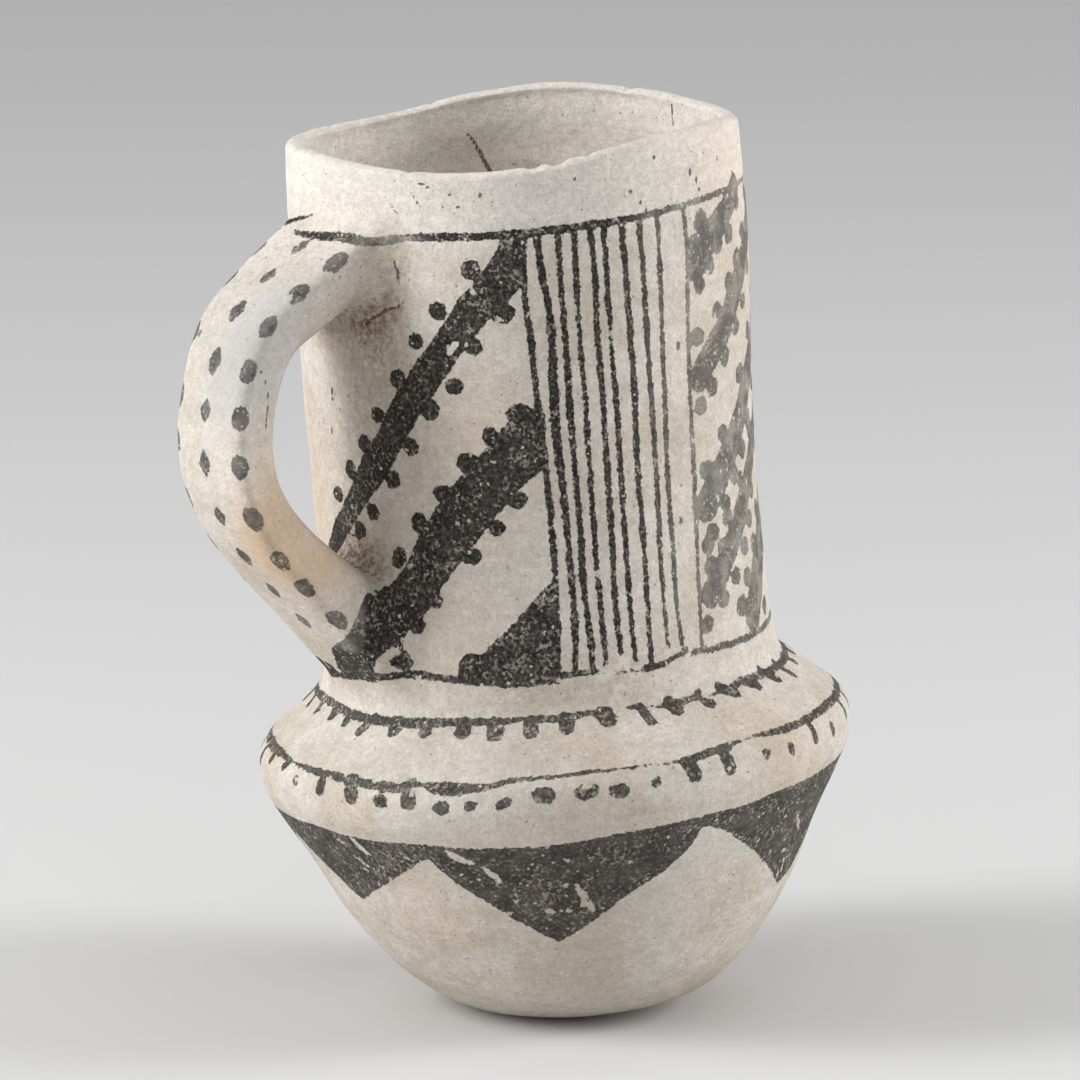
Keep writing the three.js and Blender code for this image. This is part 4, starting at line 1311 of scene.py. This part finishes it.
def slip_group():
    """Chalky clay surface: clouded colour, wiping streaks, grain, specks and pits, and its height."""
    group, given, result = new_group("chalky surface", [
        ("Pale", "NodeSocketColor", colour(222, 216, 208)),
        ("Warm", "NodeSocketColor", colour(214, 202, 187)),
        ("Grit", "NodeSocketFloat", 0.25),
    ], [("Color", "NodeSocketColor"), ("Height", "NodeSocketFloat")])
    where = place(group, "ShaderNodeTexCoord").outputs["Object"]
    ragged = bent(group, where, 0.9, 0.8)
    wiped = place(group, "ShaderNodeMapping", {"Vector": where, "Scale": (0.3, 0.3, 2.6)}).outputs[0]
    stretched = place(group, "ShaderNodeMapping", {"Vector": ragged, "Scale": (1, 1, 0.55)}).outputs[0]
    clouds = noise(group, where, 20, 4, 0.6)
    patches = noise(group, where, 4.5, 3, 0.6)
    streaks = noise(group, wiped, 7, 4, 0.6)
    mottle = noise(group, where, 1.5, 3, 0.6)
    grain = noise(group, where, 0.5, 2, 0.6)
    tone = mixed(group, fit(group, clouds, 0.4, 0.64), given["Pale"], given["Warm"])
    for value, low, high in (
        (patches, 0.95, 1.03), (streaks, 0.97, 1.03), (mottle, 0.93, 1.05), (grain, 0.9, 1.07),
    ):
        tone = shaded(group, tone, value, low, high)
    pale_specks = spots(group, ragged, 1.4, 0.4, 0.42)
    specks = spots(group, ragged, 1.25, given["Grit"], 0.33)
    pits = spots(group, stretched, 5.5, 0.32, 0.62)
    tone = mixed(group, maths(group, "MULTIPLY", pale_specks, 0.45), tone, colour(234, 230, 223))
    tone = mixed(group, maths(group, "MULTIPLY", specks, 0.6), tone, colour(136, 116, 98))
    tone = mixed(group, maths(group, "MULTIPLY", pits, 0.8), tone, colour(96, 74, 58))
    height = maths(group, "MULTIPLY", grain, 0.07)
    for bumps, share in ((patches, 0.22), (mottle, 0.14), (streaks, 0.16)):
        height = maths(group, "ADD", height, maths(group, "MULTIPLY", bumps, share))
    height = maths(group, "SUBTRACT", height, maths(group, "MULTIPLY", pits, 0.3))
    height = maths(group, "SUBTRACT", height, maths(group, "MULTIPLY", specks, 0.06))
    group.links.new(tone, result.inputs["Color"])
    group.links.new(height, result.inputs["Height"])
    return group


def paint_group():
    """Brushed mineral paint: ragged edges, mottled tone, and specks and flakes where it has come away."""
    group, given, result = new_group("worn paint", [
        ("Distance", "NodeSocketFloat", 1.0),
        ("Fade", "NodeSocketFloat", 0.0),
        ("Wear", "NodeSocketFloat", 0.3),
    ], [("Mask", "NodeSocketFloat"), ("Color", "NodeSocketColor")])
    where = place(group, "ShaderNodeTexCoord").outputs["Object"]
    ragged = bent(group, where, 0.7, 0.9)
    edge = given["Distance"]
    for size, detail, reach in ((3.4, 1, 0.7), (0.9, 3, 1.2)):
        wander = maths(group, "SUBTRACT", noise(group, where, size, detail), 0.5)
        edge = maths(group, "ADD", edge, maths(group, "MULTIPLY", wander, reach))
    cover = fit(group, edge, 0.12, -0.12)
    uneven = fit(group, noise(group, where, 10, 4, 0.6), 0.38, 0.68, 0.5, 1.5)
    clouding = fit(group, noise(group, where, 4.5, 3), 0.4, 0.62, 0.6, 1.35)
    fade = maths(group, "MULTIPLY", given["Fade"], clouding)
    wear = maths(group, "MULTIPLY", given["Wear"], uneven)
    torn = bent(group, ragged, 1.7, 2.6)
    flecks = spots(group, ragged, 1.15, maths(group, "ADD", maths(group, "MULTIPLY", wear, 0.45), 0.04), 0.46)
    flakes = spots(group, torn, 2.3, maths(group, "ADD", maths(group, "MULTIPLY", wear, 0.4), 0.04), 0.8)
    chips = spots(group, torn, 4.8, maths(group, "MULTIPLY", wear, 0.3), 1.2)
    mottle = noise(group, where, 0.8, 3, 0.65)
    patchy = fit(group, noise(group, where, 3.2, 3), 0.42, 0.66)
    dry = fit(group, maths(group, "ADD", mottle, maths(group, "MULTIPLY", wear, 0.12)), 0.55, 0.66)
    dry = maths(group, "MULTIPLY", dry, maths(group, "ADD", patchy, 0.25))
    gone = maths(group, "MULTIPLY", flecks, 0.85)
    for loss, share in ((flakes, 0.85), (chips, 0.92), (dry, 0.4)):
        gone = maths(group, "MAXIMUM", gone, maths(group, "MULTIPLY", loss, share))
    mask = maths(group, "MULTIPLY", cover, maths(group, "SUBTRACT", 1.0, gone))
    mask = maths(group, "MULTIPLY", mask, maths(group, "SUBTRACT", 1.0, maths(group, "MULTIPLY", fade, 0.3)))
    dark = noise(group, where, 0.75, 3, 0.6)
    tone = mixed(group, fit(group, dark, 0.38, 0.64), colour(30, 29, 26), colour(66, 63, 58))
    tone = shaded(group, tone, noise(group, where, 6, 3), 0.85, 1.2)
    tone = mixed(group, maths(group, "MULTIPLY", fade, 0.75), tone, colour(112, 110, 105))
    group.links.new(mask, result.inputs["Mask"])
    group.links.new(tone, result.inputs["Color"])
    return group


def soil_and_painted_shade_group():
    """Brown dirt and painted shade in corners, hairline cracks, and places where slip and paint have flaked
    to white.
    """
    group, given, result = new_group("marks of use and burial, and painted shade", [
        ("Soil", "NodeSocketFloat", 0.0),
        ("Crack", "NodeSocketFloat", 4.0),
        ("White", "NodeSocketFloat", 0.0),
    ], [(f"{mark} Mask", "NodeSocketFloat") for mark in ("Soil", "Crack", "White")])
    where = place(group, "ShaderNodeTexCoord").outputs["Object"]
    patchy = fit(group, noise(group, where, 1.3, 5, 0.7), 0.36, 0.66, 0.3, 1.3)
    soil_and_painted_shade = maths(group, "MULTIPLY", given["Soil"], patchy)
    wander = maths(group, "MULTIPLY", maths(group, "SUBTRACT", noise(group, where, 0.8, 3), 0.5), 0.5)
    crack = fit(group, maths(group, "ADD", given["Crack"], wander), 0.12, -0.06)
    broken = maths(group, "MULTIPLY", maths(group, "SUBTRACT", noise(group, where, 2.6, 5, 0.68), 0.5), 1.6)
    white = fit(group, maths(group, "ADD", given["White"], broken), 0.5, 0.64)
    group.links.new(soil_and_painted_shade, result.inputs["Soil Mask"])
    group.links.new(crack, result.inputs["Crack Mask"])
    group.links.new(white, result.inputs["White Mask"])
    return group


chalky, worn_paint, lodged_soil_and_painted_shade = slip_group(), paint_group(), soil_and_painted_shade_group()


def clay_material(name, pale, warm, grit, soil_and_painted_shade_share):
    """Slipped and painted clay, with each piece's own colours and share of dirt and painted shade."""
    material = bpy.data.materials.new(name)
    material.use_nodes = True
    tree = material.node_tree
    shader = tree.nodes["Principled BSDF"]

    def value(label):
        return place(tree, "ShaderNodeAttribute", attribute_name=label).outputs["Fac"]

    bare = value("bare")
    slip = place(tree, "ShaderNodeGroup", {}, node_tree=chalky)
    tree.links.new(mixed(tree, bare, pale, BARE_PALE), slip.inputs["Pale"])
    clouded = mixed(tree, fit(tree, bare, 0.05, 0.3), pale, warm)
    tree.links.new(mixed(tree, bare, clouded, BARE_WARM), slip.inputs["Warm"])
    tree.links.new(fit(tree, bare, 0.0, 1.0, grit, 0.5), slip.inputs["Grit"])
    paint = place(tree, "ShaderNodeGroup", {}, node_tree=worn_paint)
    tree.links.new(value("paint"), paint.inputs["Distance"])
    tree.links.new(value("fade"), paint.inputs["Fade"])
    tree.links.new(value("wear"), paint.inputs["Wear"])
    marks = place(tree, "ShaderNodeGroup", {}, node_tree=lodged_soil_and_painted_shade)
    tree.links.new(maths(tree, "MULTIPLY", value("soil_and_painted_shade"), soil_and_painted_shade_share), marks.inputs["Soil"])
    tree.links.new(value("crack"), marks.inputs["Crack"])
    tree.links.new(value("white"), marks.inputs["White"])
    flaked = marks.outputs["White Mask"]
    painted = maths(tree, "MULTIPLY", paint.outputs["Mask"], maths(tree, "SUBTRACT", 1.0, flaked))

    tone = slip.outputs["Color"]
    for mark, share, mark_colour in (
        (value("stain"), 0.6, STAIN_COLOUR), (value("grey"), 0.6, GREY_COLOUR), (flaked, 0.7, FLAKED_COLOUR),
    ):
        tone = mixed(tree, maths(tree, "MULTIPLY", mark, share), tone, mark_colour)
    # Brown dirt, made darker in the handle's crotches as painted shade
    tone = mixed(tree, marks.outputs["Soil Mask"], tone, SOIL_AND_PAINTED_SHADE_COLOUR)
    tone = mixed(tree, painted, tone, paint.outputs["Color"])
    tone = mixed(tree, maths(tree, "MULTIPLY", marks.outputs["Crack Mask"], 0.85), tone, CRACK_COLOUR)
    height = maths(tree, "ADD", slip.outputs["Height"], maths(tree, "MULTIPLY", painted, 0.04))
    height = maths(tree, "SUBTRACT", height, maths(tree, "MULTIPLY", marks.outputs["Crack Mask"], 0.3))
    bump = place(tree, "ShaderNodeBump", {"Height": height, "Distance": MM, "Strength": 1.0})
    tree.links.new(tone, shader.inputs["Base Color"])
    tree.links.new(fit(tree, painted, 0.0, 1.0, 0.86, 0.74), shader.inputs["Roughness"])
    tree.links.new(bump.outputs["Normal"], shader.inputs["Normal"])
    shader.inputs["Specular IOR Level"].default_value = 0.22
    return material


BARE_PALE = colour(186, 177, 164)
BARE_WARM = colour(170, 157, 140)
STAIN_COLOUR = colour(208, 172, 132)
GREY_COLOUR = colour(174, 175, 175)
FLAKED_COLOUR = colour(226, 221, 212)
SOIL_AND_PAINTED_SHADE_COLOUR = colour(122, 102, 84)
CRACK_COLOUR = colour(88, 70, 56)
white_slip = clay_material("painted white slip", colour(224, 218, 210), colour(218, 208, 195), 0.3, 0.8)
luting_clay = clay_material("smoothed luting clay", colour(221, 214, 205), colour(213, 201, 186), 0.36, 0.9)

for index, name in enumerate(coil_names):
    make_coil(name, index, white_slip)
make_rolled("strap_handle_clay", strap_grid(), False, "strap_handle", white_slip)
for end, from_top in (("upper", True), ("lower", False)):
    make_rolled(f"{end}_handle_fillet", luting_grid(from_top), True, f"{end}_handle_luting",
                luting_clay)

# Camera of the photograph
azimuth = math.radians(CAMERA_AZIMUTH)
elevation = math.radians(CAMERA_ELEVATION)
right = Vector((math.cos(azimuth), math.sin(azimuth), 0))
back = Vector((math.sin(azimuth) * math.cos(elevation), -math.cos(azimuth) * math.cos(elevation),
               math.sin(elevation)))
camera = bpy.data.objects.new("camera", bpy.data.cameras.new("camera"))
camera.data.sensor_width = 36
camera.data.lens = CAMERA_LENS
camera.data.clip_end = 20
camera.location = (right * TARGET_RIGHT + Vector((0, 0, TARGET_HEIGHT)) + back * CAMERA_DISTANCE) * MM
camera.rotation_mode = "QUATERNION"
camera.rotation_quaternion = (-back).to_track_quat("-Z", "Y")
bpy.context.scene.collection.objects.link(camera)
bpy.context.scene.camera = camera


LAMP_AIM_HEIGHT = 0.09
WORLD_STRENGTH = 0.42
FLOOR_HALF_SIZE = 4


def soft_lamp(name, turn, lift, distance, width, height, power):
    """A softbox aimed at the vessel. Its turn is measured from the camera, to the right."""
    towards = azimuth + math.radians(turn)
    direction = Vector((math.sin(towards) * math.cos(math.radians(lift)),
                        -math.cos(towards) * math.cos(math.radians(lift)), math.sin(math.radians(lift))))
    lamp = bpy.data.objects.new(name, bpy.data.lights.new(name, "AREA"))
    lamp.data.shape = "RECTANGLE"
    lamp.data.size = width
    lamp.data.size_y = height
    lamp.data.energy = power
    lamp.location = direction * distance + Vector((0, 0, LAMP_AIM_HEIGHT))
    lamp.rotation_mode = "QUATERNION"
    lamp.rotation_quaternion = direction.to_track_quat("Z", "Y")
    bpy.context.scene.collection.objects.link(lamp)


soft_lamp("left softbox", -77, 24, 1.3, 0.45, 1.0, 15.0)
soft_lamp("right softbox", 90, 20, 1.3, 0.45, 0.8, 12.0)
soft_lamp("top softbox", 0, 78, 1.4, 0.9, 0.9, 2.0)

floor_mesh = bpy.data.meshes.new("floor")
bm = bmesh.new()
bmesh.ops.create_grid(bm, x_segments=1, y_segments=1, size=FLOOR_HALF_SIZE)
bm.to_mesh(floor_mesh)
bm.free()
floor = bpy.data.objects.new("floor", floor_mesh)
bpy.context.scene.collection.objects.link(floor)
floor_finish = bpy.data.materials.new("pale floor")
floor_finish.use_nodes = True
floor_shader = floor_finish.node_tree.nodes["Principled BSDF"]
floor_shader.inputs["Base Color"].default_value = colour(216, 216, 216)
floor_shader.inputs["Roughness"].default_value = 0.9
floor_mesh.materials.append(floor_finish)

world = bpy.data.worlds.new("studio")
world.use_nodes = True
world.node_tree.nodes["Background"].inputs["Color"].default_value = (1, 1, 1, 1)
world.node_tree.nodes["Background"].inputs["Strength"].default_value = WORLD_STRENGTH
bpy.context.scene.world = world
bpy.context.scene.view_settings.view_transform = "Standard"
